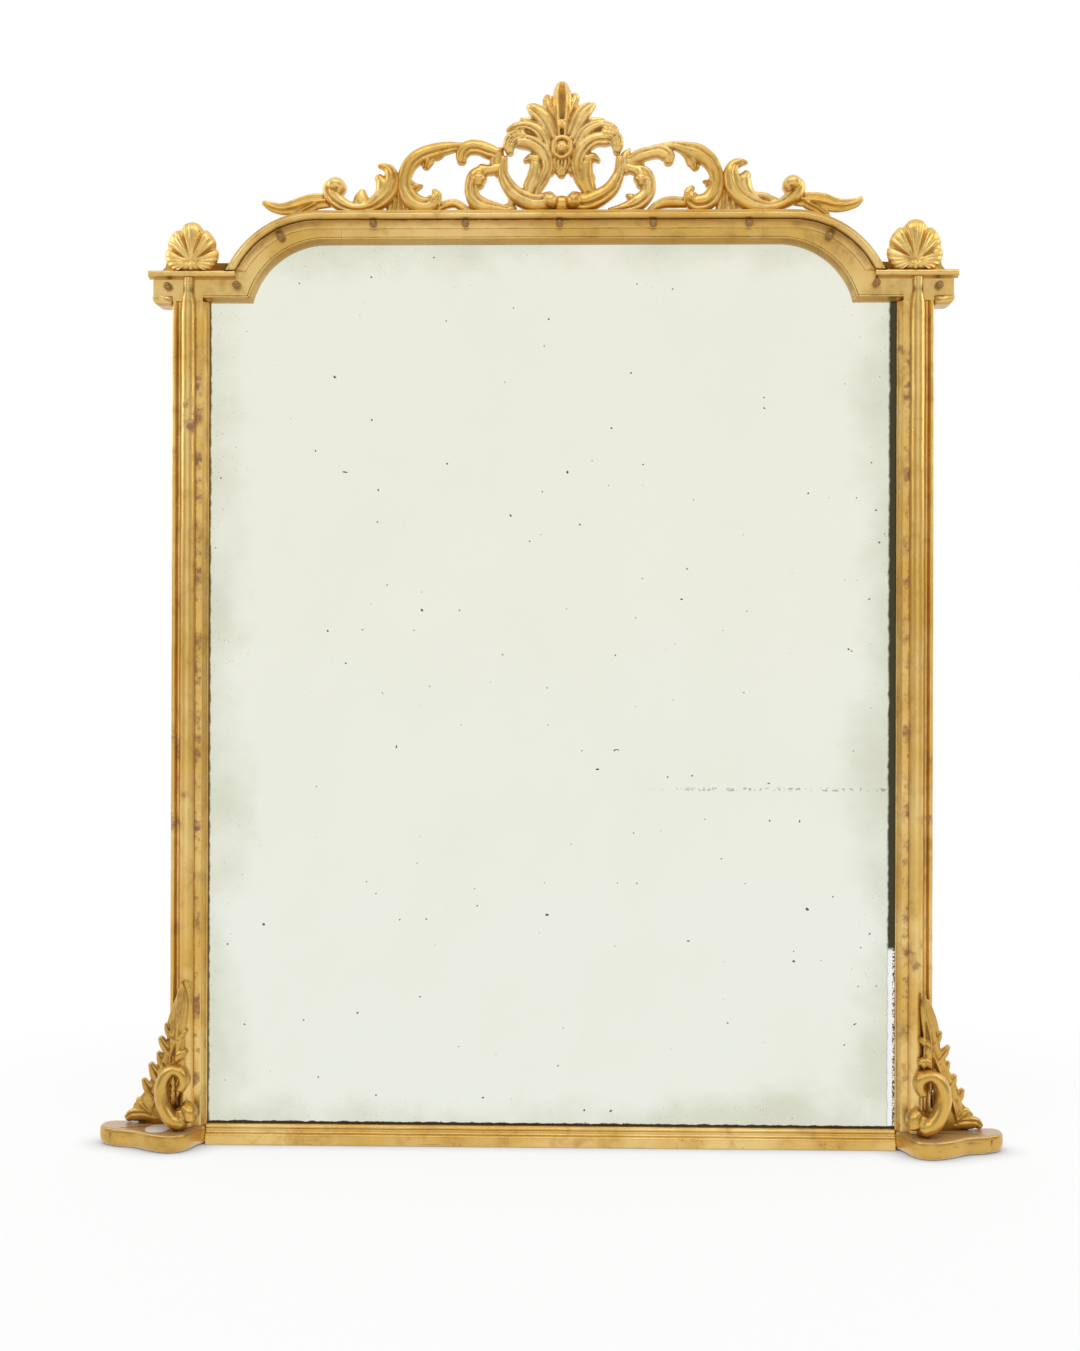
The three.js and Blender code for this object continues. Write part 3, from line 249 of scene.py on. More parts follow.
def finish(piece, material, nodes=(), body="frame"):
    """Gives a piece its material, the body that it rides on and the CAD nodes it stands for."""
    piece.data.materials.clear()
    piece.data.materials.append(material)
    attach(piece, body)
    if nodes:
        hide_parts(*nodes)


# ------------------------------------------------------------------ material making
def add_node(tree, kind, **settings):
    node = tree.nodes.new(kind)
    for name, value in settings.items():
        setattr(node, name, value)
    return node


def wire(tree, source, target):
    tree.links.new(source, target)


def put(tree, node, **values):
    """Sets or links a node's inputs by name, with _ for a space."""
    for name, value in values.items():
        socket = node.inputs[name.replace("_", " ")]
        if isinstance(value, bpy.types.NodeSocket):
            wire(tree, value, socket)
        else:
            socket.default_value = value


def fed(tree, kind, **values):
    """A new node with these inputs."""
    node = add_node(tree, kind)
    put(tree, node, **values)
    return node


def math_node(tree, operation, a, b=None, c=None, clamp=False):
    node = add_node(tree, "ShaderNodeMath", operation=operation, use_clamp=clamp)
    for socket, value in zip(node.inputs, (a, b, c)):
        if isinstance(value, bpy.types.NodeSocket):
            wire(tree, value, socket)
        elif value is not None:
            socket.default_value = value
    return node.outputs[0]


def times(tree, a, b):
    return math_node(tree, "MULTIPLY", a, b)


def plus(tree, a, b):
    return math_node(tree, "ADD", a, b)


def most(tree, first, *others):
    """The largest of several values."""
    for other in others:
        first = math_node(tree, "MAXIMUM", first, other)
    return first


def mix_colours(tree, factor, a, b):
    node = add_node(tree, "ShaderNodeMix", data_type="RGBA")
    for socket, value in ((node.inputs[0], factor), (node.inputs[6], a), (node.inputs[7], b)):
        if isinstance(value, bpy.types.NodeSocket):
            wire(tree, value, socket)
        elif not isinstance(value, float):
            socket.default_value = (*value, 1.0)
        else:
            socket.default_value = value
    return node.outputs[2]


def band(tree, value, low, high):
    """0 below low, 1 above high, smooth between."""
    node = add_node(tree, "ShaderNodeMapRange", interpolation_type="SMOOTHSTEP")
    put(tree, node, Value=value, From_Min=low, From_Max=high)
    return node.outputs[0]


def object_place(tree):
    return add_node(tree, "ShaderNodeTexCoord").outputs["Object"]


def stretched(tree, factors):
    """Object coordinates multiplied along each axis."""
    return fed(tree, "ShaderNodeMapping", Vector=object_place(tree), Scale=factors).outputs[0]


def stretched_by(tree, socket):
    """Object coordinates multiplied by a vector that a socket gives."""
    scale = add_node(tree, "ShaderNodeVectorMath", operation="MULTIPLY")
    wire(tree, object_place(tree), scale.inputs[0])
    wire(tree, socket, scale.inputs[1])
    return scale.outputs[0]


def separated(tree, vector):
    return fed(tree, "ShaderNodeSeparateXYZ", Vector=vector).outputs


def noise(tree, vector, scale, detail=4.0, roughness=0.6):
    return fed(tree, "ShaderNodeTexNoise", Vector=vector, Scale=scale, Detail=detail,
               Roughness=roughness).outputs[0]


def new_group(name, inputs, outputs):
    """A shader node group: inputs are (name, kind, default), outputs are (name, kind)."""
    group = bpy.data.node_groups.new(name, "ShaderNodeTree")
    for label, kind, default in inputs:
        socket = group.interface.new_socket(label, in_out="INPUT", socket_type=kind)
        socket.default_value = default
    for label, kind in outputs:
        group.interface.new_socket(label, in_out="OUTPUT", socket_type=kind)
    start = group.nodes.new("NodeGroupInput")
    end = group.nodes.new("NodeGroupOutput")
    return group, start.outputs, end.inputs


NUMBER, COLOUR, VECTOR = "NodeSocketFloat", "NodeSocketColor", "NodeSocketVector"


def rubbed_edges_group():
    """Where the leaf is rubbed through: proud edges, broken up, and stray patches."""
    group, given, out = new_group(
        "Rubbed Edges",
        [("Crown", NUMBER, 0.0), ("Amount", NUMBER, 0.5), ("Patches", NUMBER, 0.3), ("Size", NUMBER, 60.0)],
        [("Rubbed", NUMBER)])
    place = stretched(group, (1, 1, 1))
    fine = noise(group, place, given["Size"], 6.0, 0.7)
    broad = noise(group, place, 7.0, 3.0)
    edge_part = times(group, given["Crown"], given["Amount"])
    edge_part = math_node(group, "MULTIPLY_ADD", fine, 0.9, edge_part)
    edge_part = band(group, edge_part, 0.78, 0.98)
    patch = times(group, band(group, broad, 0.52, 0.72), given["Patches"])
    patch = math_node(group, "MULTIPLY_ADD", fine, 0.75, patch)
    patch = band(group, patch, 0.66, 0.82)
    wire(group, most(group, edge_part, patch), out["Rubbed"])
    return group


def gold_leaf_group():
    """Old gold leaf: warm, pale and deep areas, and soft mottling with laps in its height."""
    group, given, out = new_group(
        "Gold Leaf",
        [("Gold", COLOUR, (0.7, 0.45, 0.12, 1)), ("Pale", COLOUR, (0.85, 0.65, 0.3, 1)),
         ("Deep", COLOUR, (0.4, 0.2, 0.04, 1))],
        [("Color", COLOUR), ("Roughness", NUMBER), ("Height", NUMBER)])
    place = stretched(group, (1, 1, 1))
    broad = noise(group, place, 5.0, 3.0)
    middle = noise(group, place, 28.0, 5.0, 0.65)
    fine = noise(group, place, 160.0, 4.0)
    colour = mix_colours(group, band(group, broad, 0.35, 0.7), given["Gold"], given["Pale"])
    deep_part = times(group, band(group, middle, 0.48, 0.75), 0.55)
    colour = mix_colours(group, deep_part, colour, given["Deep"])
    waves = add_node(group, "ShaderNodeTexWave", wave_profile="SAW", bands_direction="X")
    put(group, waves, Vector=place, Scale=4.2, Distortion=1.2, Detail=2.0)
    lap = times(group, band(group, waves.outputs[1], 0.955, 0.985), 0.10)
    wire(group, colour, out["Color"])
    wire(group, math_node(group, "MULTIPLY_ADD", fine, 0.12, times(group, middle, 0.3)), out["Roughness"])
    height = math_node(group, "MULTIPLY_ADD", middle, 0.7, lap)
    wire(group, math_node(group, "MULTIPLY_ADD", fine, 0.3, height), out["Height"])
    return group


def dirt_and_shade_group():
    """Dust and old wax in the hollows, and painted shade there, broken up by a fine grain."""
    group, given, out = new_group(
        "Settled Dirt",
        [("Hollow", NUMBER, 0.0), ("Amount", NUMBER, 0.7), ("Size", NUMBER, 40.0)],
        [("Dirt", NUMBER)])
    place = stretched(group, (1, 1, 1))
    grain = noise(group, place, given["Size"], 5.0, 0.65)
    sunk = times(group, given["Hollow"], given["Amount"])
    sunk = math_node(group, "MULTIPLY_ADD", grain, 0.5, sunk)
    wire(group, times(group, band(group, sunk, 0.35, 0.95), 0.9), out["Dirt"])
    return group


def scratches_group():
    """Fine marks that run along one axis."""
    group, given, out = new_group(
        "Fine Streaks",
        [("Along", VECTOR, (60, 60, 3)), ("Threshold", NUMBER, 0.62)],
        [("Streaks", NUMBER), ("Height", NUMBER)])
    lines = noise(group, stretched_by(group, given["Along"]), 3.0, 5.0, 0.6)
    high = plus(group, given["Threshold"], 0.1)
    wire(group, band(group, lines, given["Threshold"], high), out["Streaks"])
    wire(group, lines, out["Height"])
    return group


def wood_grain_group():
    """Plain sawn pine: fibres and faint rings, stretched along one axis."""
    group, given, out = new_group(
        "Pine Grain",
        [("Along", VECTOR, (8, 8, 0.6)), ("Light", COLOUR, (0.4, 0.25, 0.12, 1)),
         ("Dark", COLOUR, (0.22, 0.12, 0.05, 1))],
        [("Color", COLOUR), ("Height", NUMBER)])
    place = stretched_by(group, given["Along"])
    rings = add_node(group, "ShaderNodeTexWave", wave_type="BANDS", bands_direction="DIAGONAL")
    put(group, rings, Vector=place, Scale=3.0, Distortion=5.0, Detail=4.0)
    fibres = noise(group, place, 30.0, 5.0)
    mixed = math_node(group, "MULTIPLY_ADD", fibres, 0.85, times(group, rings.outputs[1], 0.15))
    wire(group, mix_colours(group, mixed, given["Light"], given["Dark"]), out["Color"])
    wire(group, mixed, out["Height"])
    return group


GROUPS = {}


def use_group(tree, maker, **values):
    """Places a shared group in a material with its own values."""
    if maker.__name__ not in GROUPS:
        GROUPS[maker.__name__] = maker()
    node = add_node(tree, "ShaderNodeGroup", node_tree=GROUPS[maker.__name__])
    put(tree, node, **values)
    return node.outputs


def new_material(name):
    material = bpy.data.materials.new(name)
    material.use_nodes = True
    shader = material.node_tree.nodes["Principled BSDF"]
    return material, material.node_tree, shader


def raised(tree, shader, height, distance, strength):
    bump = fed(tree, "ShaderNodeBump", Height=height, Distance=distance, Strength=strength)
    wire(tree, bump.outputs[0], shader.inputs["Normal"])


def stored(tree, name):
    return add_node(tree, "ShaderNodeAttribute", attribute_name=name).outputs["Fac"]


def facing(tree, axis):
    """How far a surface faces along an axis, from -1 to 1."""
    return separated(tree, add_node(tree, "ShaderNodeNewGeometry").outputs["Normal"])[axis]


# ------------------------------------------------------------------ sizes and colours to change
def colour_property(name, description, default):
    return bpy.props.FloatVectorProperty(name=name, description=description, subtype="COLOR", default=default)


class MirrorSettings(bpy.types.PropertyGroup):
    gold: colour_property("Gold", "Leaf colour", (0.68, 0.41, 0.085))
    pale_gold: colour_property("Pale gold", "Leaf where it is least worn", (0.86, 0.61, 0.22))
    # Deep gold is also the painted shade on faces that turn downwards.
    deep_gold_and_shade: colour_property("Deep gold", "Leaf that has darkened", (0.42, 0.21, 0.03))
    bole: colour_property("Bole", "Red clay under the leaf", (0.36, 0.16, 0.065))
    # The dirt colour is also the painted shade in the hollows.
    dirt: colour_property("Dirt", "Dust and wax in the hollows", (0.20, 0.085, 0.015))
    worn_top: colour_property("Worn top", "Shelf tops", (0.42, 0.27, 0.17))
    gesso: colour_property("Gesso", "White ground under the bole", (0.88, 0.87, 0.88))
    voxel: bpy.props.FloatProperty(
        name="Carving grain", description="Voxel size of the carving, in millimetres", default=1.2, min=0.6)
    stud_radius: bpy.props.FloatProperty(
        name="Stud radius", description="Ball studs on the frieze", default=0.0064, unit="LENGTH")
    lamp_power: bpy.props.FloatProperty(
        name="Lamp power", description="Power of each lamp, in watts", default=9.0)


def settings():
    return bpy.context.scene.pier_mirror


MATERIALS = {}


def made(maker, *given):
    """A material that is made once and shared."""
    key = (maker, *given)
    if key not in MATERIALS:
        MATERIALS[key] = maker(*given)
    return MATERIALS[key]


# ------------------------------------------------------------------ gilding
# The kinds of gilding. gold and pale name a setting and how much brighter it is here: these factors paint
# light and shade, lighter on the carving and the uprights, darker on the brackets and shelves. The rest says
# how much is rubbed, patchy, and dusty with painted shade in the hollows, which way the streaks run and how
# few they are.
GILDINGS = {
    "carving": {"gold": ("gold", 1.14), "pale": ("pale_gold", 1.1), "rub": 0.34, "patches": 0.22, "dust_and_shade": 0.95,
                "along": (30, 30, 12), "streaks": 0.72},
    "upright": {"gold": ("gold", 1.1), "pale": ("pale_gold", 1.08), "rub": 0.5, "patches": 0.4, "dust_and_shade": 0.7,
                "along": (150, 150, 3), "streaks": 0.62},
    "level": {"gold": ("gold", 1.0), "pale": ("pale_gold", 1.0), "rub": 0.42, "patches": 0.25, "dust_and_shade": 0.55,
              "along": (3, 120, 120), "streaks": 0.64},
    "frieze": {"gold": ("gold", 1.0), "pale": ("pale_gold", 1.0), "rub": 0.3, "patches": 0.15, "dust_and_shade": 0.5,
               "along": (20, 20, 20), "streaks": 0.72},
    "bracket": {"gold": ("gold", 0.86), "pale": ("gold", 1.1), "rub": 0.6, "patches": 0.5, "dust_and_shade": 0.9,
                "along": (24, 24, 16), "streaks": 0.62},
    "shelf": {"gold": ("gold", 0.86), "pale": ("gold", 1.02), "rub": 0.3, "patches": 0.3, "dust_and_shade": 0.7,
              "along": (14, 14, 60), "streaks": 0.60},
}
BACK_WASH = (0.33, 0.20, 0.085)
# Middle and half sizes of the bare patch on the left shelf, in metres.
GESSO_PLACE = (-0.648, -0.040, 0.030)
GESSO_SIZE = (0.020, 0.032, 0.008)


def brightened(setting, factor):
    return (*(min(part * factor, 0.95) for part in getattr(settings(), setting)), 1)


def gilding(kind):
    """Worn water gilding over red bole and gesso, with painted shade on faces that turn downwards and in the
    hollows.
    """
    look, s = GILDINGS[kind], settings()
    material, tree, shader = new_material(f"Gilt {kind}")
    leaf = use_group(tree, gold_leaf_group, Gold=brightened(*look["gold"]), Pale=brightened(*look["pale"]),
                     Deep=(*s.deep_gold_and_shade, 1))
    rubbed = use_group(tree, rubbed_edges_group, Crown=stored(tree, "crown"), Amount=look["rub"],
                       Patches=look["patches"])
    hollow_dirt_and_shade = use_group(tree, dirt_and_shade_group, Hollow=stored(tree, "hollow"), Amount=look["dust_and_shade"])
    marks = use_group(tree, scratches_group, Along=look["along"], Threshold=look["streaks"])
    bare = most(tree, rubbed["Rubbed"], times(tree, marks["Streaks"], 0.55))
    colour = mix_colours(tree, bare, leaf["Color"], s.bole)
    # Painted shade: faces that turn downwards are darkened towards deep gold.
    painted_underside_shade = band(tree, facing(tree, "Z"), -0.1, -0.9)
    colour = mix_colours(tree, times(tree, painted_underside_shade, 0.6), colour, s.deep_gold_and_shade)
    # Dust and wax in the hollows, and painted shade there.
    colour = mix_colours(tree, hollow_dirt_and_shade["Dirt"], colour, s.dirt)
    # The backs were never gilded.
    behind = band(tree, facing(tree, "Y"), 0.8, 0.95)
    colour = mix_colours(tree, behind, colour, BACK_WASH)
    cover = most(tree, bare, hollow_dirt_and_shade["Dirt"], behind)
    metal = math_node(tree, "MULTIPLY_ADD", cover, -0.75, 0.82, clamp=True)
    if kind == "shelf":
        colour, metal = worn_tops(tree, colour, metal)
    rough = plus(tree, leaf["Roughness"], 0.11)
    put(tree, shader, Base_Color=colour, Metallic=metal, Coat_Weight=0.30, Coat_Roughness=0.32,
        Roughness=math_node(tree, "MULTIPLY_ADD", cover, 0.25, rough, clamp=True))
    height = math_node(tree, "MULTIPLY_ADD", marks["Height"], 0.5, leaf["Height"])
    raised(tree, shader, math_node(tree, "MULTIPLY_ADD", bare, -0.6, height), 0.0006, 0.6)
    return material


def worn_tops(tree, colour, metal):
    """Tops worn to mauve-brown clay, and at the left a patch that is lost down to the gesso."""
    s = settings()
    worn = times(tree, band(tree, facing(tree, "Z"), 0.5, 0.95), 0.6)
    colour = mix_colours(tree, worn, colour, s.worn_top)
    away = add_node(tree, "ShaderNodeVectorMath", operation="DISTANCE")
    wire(tree, stretched(tree, [1 / size for size in GESSO_SIZE]), away.inputs[0])
    away.inputs[1].default_value = [place / size for place, size in zip(GESSO_PLACE, GESSO_SIZE)]
    ragged = math_node(tree, "MULTIPLY_ADD", noise(tree, stretched(tree, (1, 1, 1)), 90.0), 0.3,
                       away.outputs["Value"])
    bare = band(tree, ragged, 1.2, 1.1)
    colour = mix_colours(tree, bare, colour, s.gesso)
    return colour, math_node(tree, "SUBTRACT", metal, most(tree, bare, worn), clamp=True)


# ------------------------------------------------------------------ mouldings along a path
def mitred(path, profile, side=1.0):
    """Rings of a profile [out, depth] along [x, z] points; "out" is to the left of travel."""
    path = np.asarray(path, float)
    profile = np.asarray(profile, float)
    steps = np.diff(path, axis=0)
    steps /= np.linalg.norm(steps, axis=1)[:, None]
    normals = np.stack([-steps[:, 1], steps[:, 0]], 1) * side
    rings = []
    for i, (x, z) in enumerate(path):
        a = normals[max(i - 1, 0)]
        b = normals[min(i, len(normals) - 1)]
        n = (a + b) / np.dot(a + b, a)
        rings.append([(x + n[0] * out, BACK - depth, z + n[1] * out) for out, depth in profile])
    return np.array(rings)


def straight(start, end, length=12.0):
    """Points of a straight run, every so many millimetres, so that it can be worn unevenly."""
    start, end = np.asarray(start, float), np.asarray(end, float)
    count = max(2, int(np.linalg.norm(end - start) / length))
    return [tuple(start + (end - start) * t) for t in np.linspace(0, 1, count + 1)]


END_RING = 0.05                   # share of the first step where the second ring lies
MOULDING_WAVE = 40.0              # length of the unevenness, in millimetres


def moulded(name, rings, kind, nodes, unevenness=0.12, passes=6, depth=0.35):
    """A swept moulding with this kind of gilding, hand-planed unevenness and its relief marked."""
    # A second ring close to each end keeps the shading of the cut face off the sides.
    rings = np.asarray(rings, float)
    near = rings[0] + (rings[1] - rings[0]) * END_RING
    far = rings[-1] + (rings[-2] - rings[-1]) * END_RING
    rings = np.concatenate([rings[:1], [near], rings[1:-1], [far], rings[-1:]])
    piece = new_piece(name, lofted(rings))
    points = coords(piece.data).astype(float) / MM
    set_coords(piece.data, waver(points, MOULDING_WAVE, unevenness) * MM)
    mark_relief(piece, passes, depth)
    # The cut ends meet other pieces, so they aren't rubbed.
    size = len(rings[0])
    worn = piece.data.attributes["crown"].data
    for i in (*range(size * (passes + 1)), *range(len(worn) - size * (passes + 1), len(worn))):
        worn[i].value = 0.0
    finish(piece, made(gilding, kind), nodes)


# Profiles are [out, depth]: "out" from the path, depth from the back plane.
LIP_CREST = rounded([
    (-5.0, BOARD_DEPTH + SEAM), (-5.0, LIP_DEPTH - 7), (-6.5, LIP_DEPTH - 3), (-9.5, LIP_DEPTH),
    (-14.0, LIP_DEPTH - 0.6), (-16.5, LIP_DEPTH - 3.4), (-17.2, LIP_DEPTH - 6.5)], 2.2, 5, closed=False)
QUIRK = [(-17.2, BOARD_DEPTH + 9.2), (-17.4, BOARD_DEPTH + 3.7), (-18.9, BOARD_DEPTH + 3.7)]
LIP_COVE = arc(-31.5, BOARD_DEPTH + SEAM + 13.6, 13.0, -18, -88, 10)
# The projecting lip, the dark quirk under it and the cove below, in one section.
LIP_PROFILE = np.array([*LIP_CREST, *QUIRK, *LIP_COVE, (-31.5, BOARD_DEPTH + SEAM)])
EAR_LIP = rounded([
    (EAR_TOP, BOARD_DEPTH + SEAM), (EAR_TOP, LIP_DEPTH - 4), (EAR_TOP - 2, LIP_DEPTH - 1),
    (EAR_TOP - 6, LIP_DEPTH), (EAR_TOP - 10, LIP_DEPTH - 2), (EAR_TOP - 11, LIP_DEPTH - 6),
    (EAR_TOP - 10.4, LIP_DEPTH - 9), (EAR_TOP - 10.8, LIP_DEPTH - 12),
    (EAR_TOP - 13, LIP_DEPTH - 14.5), (EAR_TOP - 13, BOARD_DEPTH + SEAM)], 1.6, 4)
SIGHT_PROFILE = rounded([
    (0, PLATE_DEPTH), (0, 32), (1.2, 34.5), (4.6, BOARD_DEPTH - 3.5), (5.0, BOARD_DEPTH - 1),
    (6.2, BOARD_DEPTH + 1.6), (7.9, BOARD_DEPTH + 1.6), (8.9, BOARD_DEPTH), (SIGHT_WIDTH, BOARD_DEPTH - 2),
    (SIGHT_WIDTH, PLATE_DEPTH)], 1.1, 4)


def outer_path(side):
    """The frame's outer edge from the straight head down to the ear."""
    level = FRAME_TOP - OUTER_RADIUS
    centre = OUTER_CENTRE[side] * side
    low = math.degrees(math.asin((EAR_TOP - level - 17) / OUTER_RADIUS))
    bend = arc(centre, level, OUTER_RADIUS, 90, low, 36)
    points = straight((HEAD_HALF, FRAME_TOP), bend[0]) + [tuple(p) for p in bend[1:]]
    return [(x * side, z) for x, z in points]


class PIER_OT_lips(bpy.types.Operator):
    """The projecting lip along the head, the shoulders and the ears, with the cove under it"""
    bl_idname = "pier.lips"
    bl_label = "Lips and coves"

    def execute(self, context):
        head = straight((-HEAD_HALF, FRAME_TOP), (HEAD_HALF, FRAME_TOP))
        moulded("lip_and_cove_head", mitred(head, LIP_PROFILE), "level", ["lip_head"])
        for name, side in SIDES:
            rings = mitred(outer_path(side), LIP_PROFILE, side)
            flat = rings.reshape(-1, 3)
            flat[:, 2] = np.maximum(flat[:, 2], EAR_TOP + SEAM)
            moulded(f"lip_and_cove_{name}", rings, "level", [f"lip_shoulder_{name}"])
            low, high = edge(f"lip_ear_{name}", 0, 0), edge(f"lip_ear_{name}", 1, 0)
            ear = [[(x, BACK - depth, z) for z, depth in EAR_LIP]
                   for x in np.arange(low, high + 0.1, (high - low) / 14)]
            moulded(f"ear_lip_{name}", ear, "level", [f"lip_ear_{name}"])
        return {"FINISHED"}


def sight_path(side):
    """The glass edge from the straight head down the arc to the notch."""
    level = SIGHT_TOP - SIGHT_RADIUS
    start = math.degrees(math.asin((NOTCH - level) / SIGHT_RADIUS))
    bend = arc(SIGHT_CENTRE, level, SIGHT_RADIUS, 90, start, 30)
    corner = bend[-1]
    level_run = straight(corner, (SIGHT_HALF + SIGHT_WIDTH, NOTCH), 8.0)
    points = straight((HEAD_HALF, SIGHT_TOP), bend[0]) + [tuple(p) for p in bend[1:]] + level_run[1:]
    return [(x * side, z) for x, z in points]


class PIER_OT_sight_mouldings(bpy.types.Operator):
    """The narrow moulding that holds the plate at the head, the shoulders and the notches"""
    bl_idname = "pier.sight_mouldings"
    bl_label = "Sight mouldings"

    def execute(self, context):
        head = straight((-HEAD_HALF, SIGHT_TOP), (HEAD_HALF, SIGHT_TOP))
        moulded("sight_bead_head", mitred(head, SIGHT_PROFILE), "level", ["sight_head"])
        for name, side in SIDES:
            moulded(f"sight_bead_{name}", mitred(sight_path(side), SIGHT_PROFILE, side), "level",
                    [f"sight_shoulder_{name}", f"sight_notch_{name}"])
        return {"FINISHED"}


# [out from the sight edge, depth] of a pilaster's facing.
PILASTER = [
    (0, PLATE_DEPTH), (SIGHT_WIDTH, PLATE_DEPTH), (SIGHT_WIDTH, STILE_DEPTH), (60, STILE_DEPTH), (60, 42),
    (59.3, 46), (57, 48.3), (54, 48.3), (51.3, 45.6), (50, 41.6), (46.4, 41.2), (45.8, 43.7), (45, 44),
    (9.6, 44), (8.4, 43.6), (7.3, 41.6), (2.2, 33.4), (1.2, 34), (0, 33)]
COLUMN_INSET = edge("column_right", 0, 0) - SIGHT_HALF
COLUMN_WIDTH = edge("column_right", 1, 0) - edge("column_right", 0, 0)
# The shaft narrows by these shares of its width and its rise, this far below the ear's top.
NARROWED, LOWERED = 0.28, 0.12
NARROWING_START, NARROWING_LENGTH = 56, 24


class PIER_OT_uprights(bpy.types.Operator):
    """The moulded pilasters and the half-round columns on them"""
    bl_idname = "pier.uprights"
    bl_label = "Pilasters and columns"

    def execute(self, context):
        foot = SHELF_TOP + SEAM
        section = rounded(PILASTER, 1.0, 4)
        middle = SIGHT_HALF + COLUMN_INSET + COLUMN_WIDTH / 2
        angles = np.radians(np.linspace(0, 180, 33))
        for name, side in SIDES:
            heights = np.linspace(foot, NOTCH - SEAM, 120)
            rings = [[(side * (SIGHT_HALF + out), BACK - depth, z) for out, depth in section] for z in heights]
            moulded(f"pilaster_facing_{name}", rings, "upright", [f"pilaster_{name}"])
            rings = []
            for z in np.linspace(foot, edge(f"column_{name}", 1, 2), 130):
                share = np.clip((z - (EAR_TOP - NARROWING_START)) / NARROWING_LENGTH, 0, 1)
                half = COLUMN_WIDTH / 2 * (1 - NARROWED * share * share * (3 - 2 * share))
                rise = (COLUMN_DEPTH - BOARD_DEPTH - SEAM) * (1 - LOWERED * share)
                rings.append([(side * (middle + half * math.cos(a)),
                               BACK - BOARD_DEPTH - SEAM - rise * math.sin(a) ** 0.85, z) for a in angles])
            moulded(f"half_column_{name}", rings, "upright", [f"column_{name}"], unevenness=0.2)
        return {"FINISHED"}


# [height, depth] of the base rail's section: flat face, tan cove, top bevel and the glazing channel.
RAIL = [
    (0, 0), (0, 46.5), (1.5, 48), (15.5, 48), (17.3, 46.8), (18.6, 44), (20, 41), (23, 39), (26.4, 39.2),
    (27.8, 41), (29.6, 40.6), (31.6, 38.6), (RAIL_TOP, 36.4), (RAIL_TOP, PLATE_DEPTH),
    (SHELF_TOP, PLATE_DEPTH), (SHELF_TOP, 0)]
SHELF_CURVE = [(0, 46), (7, 58), (15, 90), (30, 115), (55, 121), (83, 107), (116, 81), (150, 72)]
# [inwards from the outline, height] up a shelf's rounded edge.
SHELF_EDGE = [
    (12.0, 0.0), (7.0, 1.0), (3.6, 3.2), (1.4, 7.0), (0.3, 12.0), (0.0, 17.5), (0.3, 22.0), (0.3, 25.5),
    (1.3, 28.4), (3.2, 29.7), (6.0, SHELF_TOP), (16.0, SHELF_TOP)]
SHELF_CORNER = 32.0
SHELF_SIDE = 66.0                 # depth of the outer side, up to its front corner
BACK_CORNER = 20.0


def shelf_outline(reach):
    """The serpentine outline of a shelf as [out, depth], counter-clockwise from the inner back corner."""
    front = catmull(SHELF_CURVE, 6)
    corner = arc(reach - SHELF_CORNER, SHELF_SIDE - SHELF_CORNER, SHELF_CORNER, 75, 0, 8)
    side = [(reach, depth) for depth in np.linspace(SHELF_SIDE - SHELF_CORNER, BACK_CORNER, 4)[1:-1]]
    side += [tuple(p) for p in arc(reach - BACK_CORNER, BACK_CORNER, BACK_CORNER, 0, -90, 6)]
    back = [(out, 0) for out in np.linspace(reach - BACK_CORNER, 0, 18)[1:-1]]
    inner = [(0, depth) for depth in np.linspace(0, 46, 6)[:-1]]
    return np.array([*inner, *front, *corner, *side, *back])


class PIER_OT_base(bpy.types.Operator):
    """The base rail and the two serpentine shelves"""
    bl_idname = "pier.base"
    bl_label = "Rail and shelves"

    def execute(self, context):
        section = rounded(RAIL, 1.2, 4)
        half = edge("base_rail", 1, 0)
        rings = [[(x, BACK - depth, z) for z, depth in section] for x in np.linspace(-half, half, 110)]
        moulded("rail_moulding", rings, "level", ["base_rail"], unevenness=0.15)
        reach = edge("shelf_right", 1, 0) - SIGHT_HALF
        outline = shelf_outline(reach)
        middle = np.array([reach / 2, 50.0])
        step = np.roll(outline, -1, 0) - np.roll(outline, 1, 0)
        inward = np.stack([-step[:, 1], step[:, 0]], 1)
        inward /= np.maximum(np.linalg.norm(inward, axis=1)[:, None], 1e-9)
        inward *= np.sign(((middle - outline) * inward).sum(1))[:, None]
        for name, side in SIDES:
            rings = []
            for inset, z in SHELF_EDGE:
                pts = outline + inward * inset
                pts[:, 0] = np.maximum(pts[:, 0], 0.2)
                pts[:, 1] = np.maximum(pts[:, 1], 0.0)
                rings.append([(side * (SIGHT_HALF + out), BACK - depth, z) for out, depth in pts])
            moulded(f"serpentine_shelf_{name}", rings, "shelf", [f"shelf_{name}"], unevenness=0.3, passes=5,
                    depth=0.5)
        return {"FINISHED"}


def outer_end(node):
    """How far out from the middle a node reaches."""
    return max(abs(edge(node, 0, 0)), abs(edge(node, 1, 0)))


OVOLO_RADIUS = 15


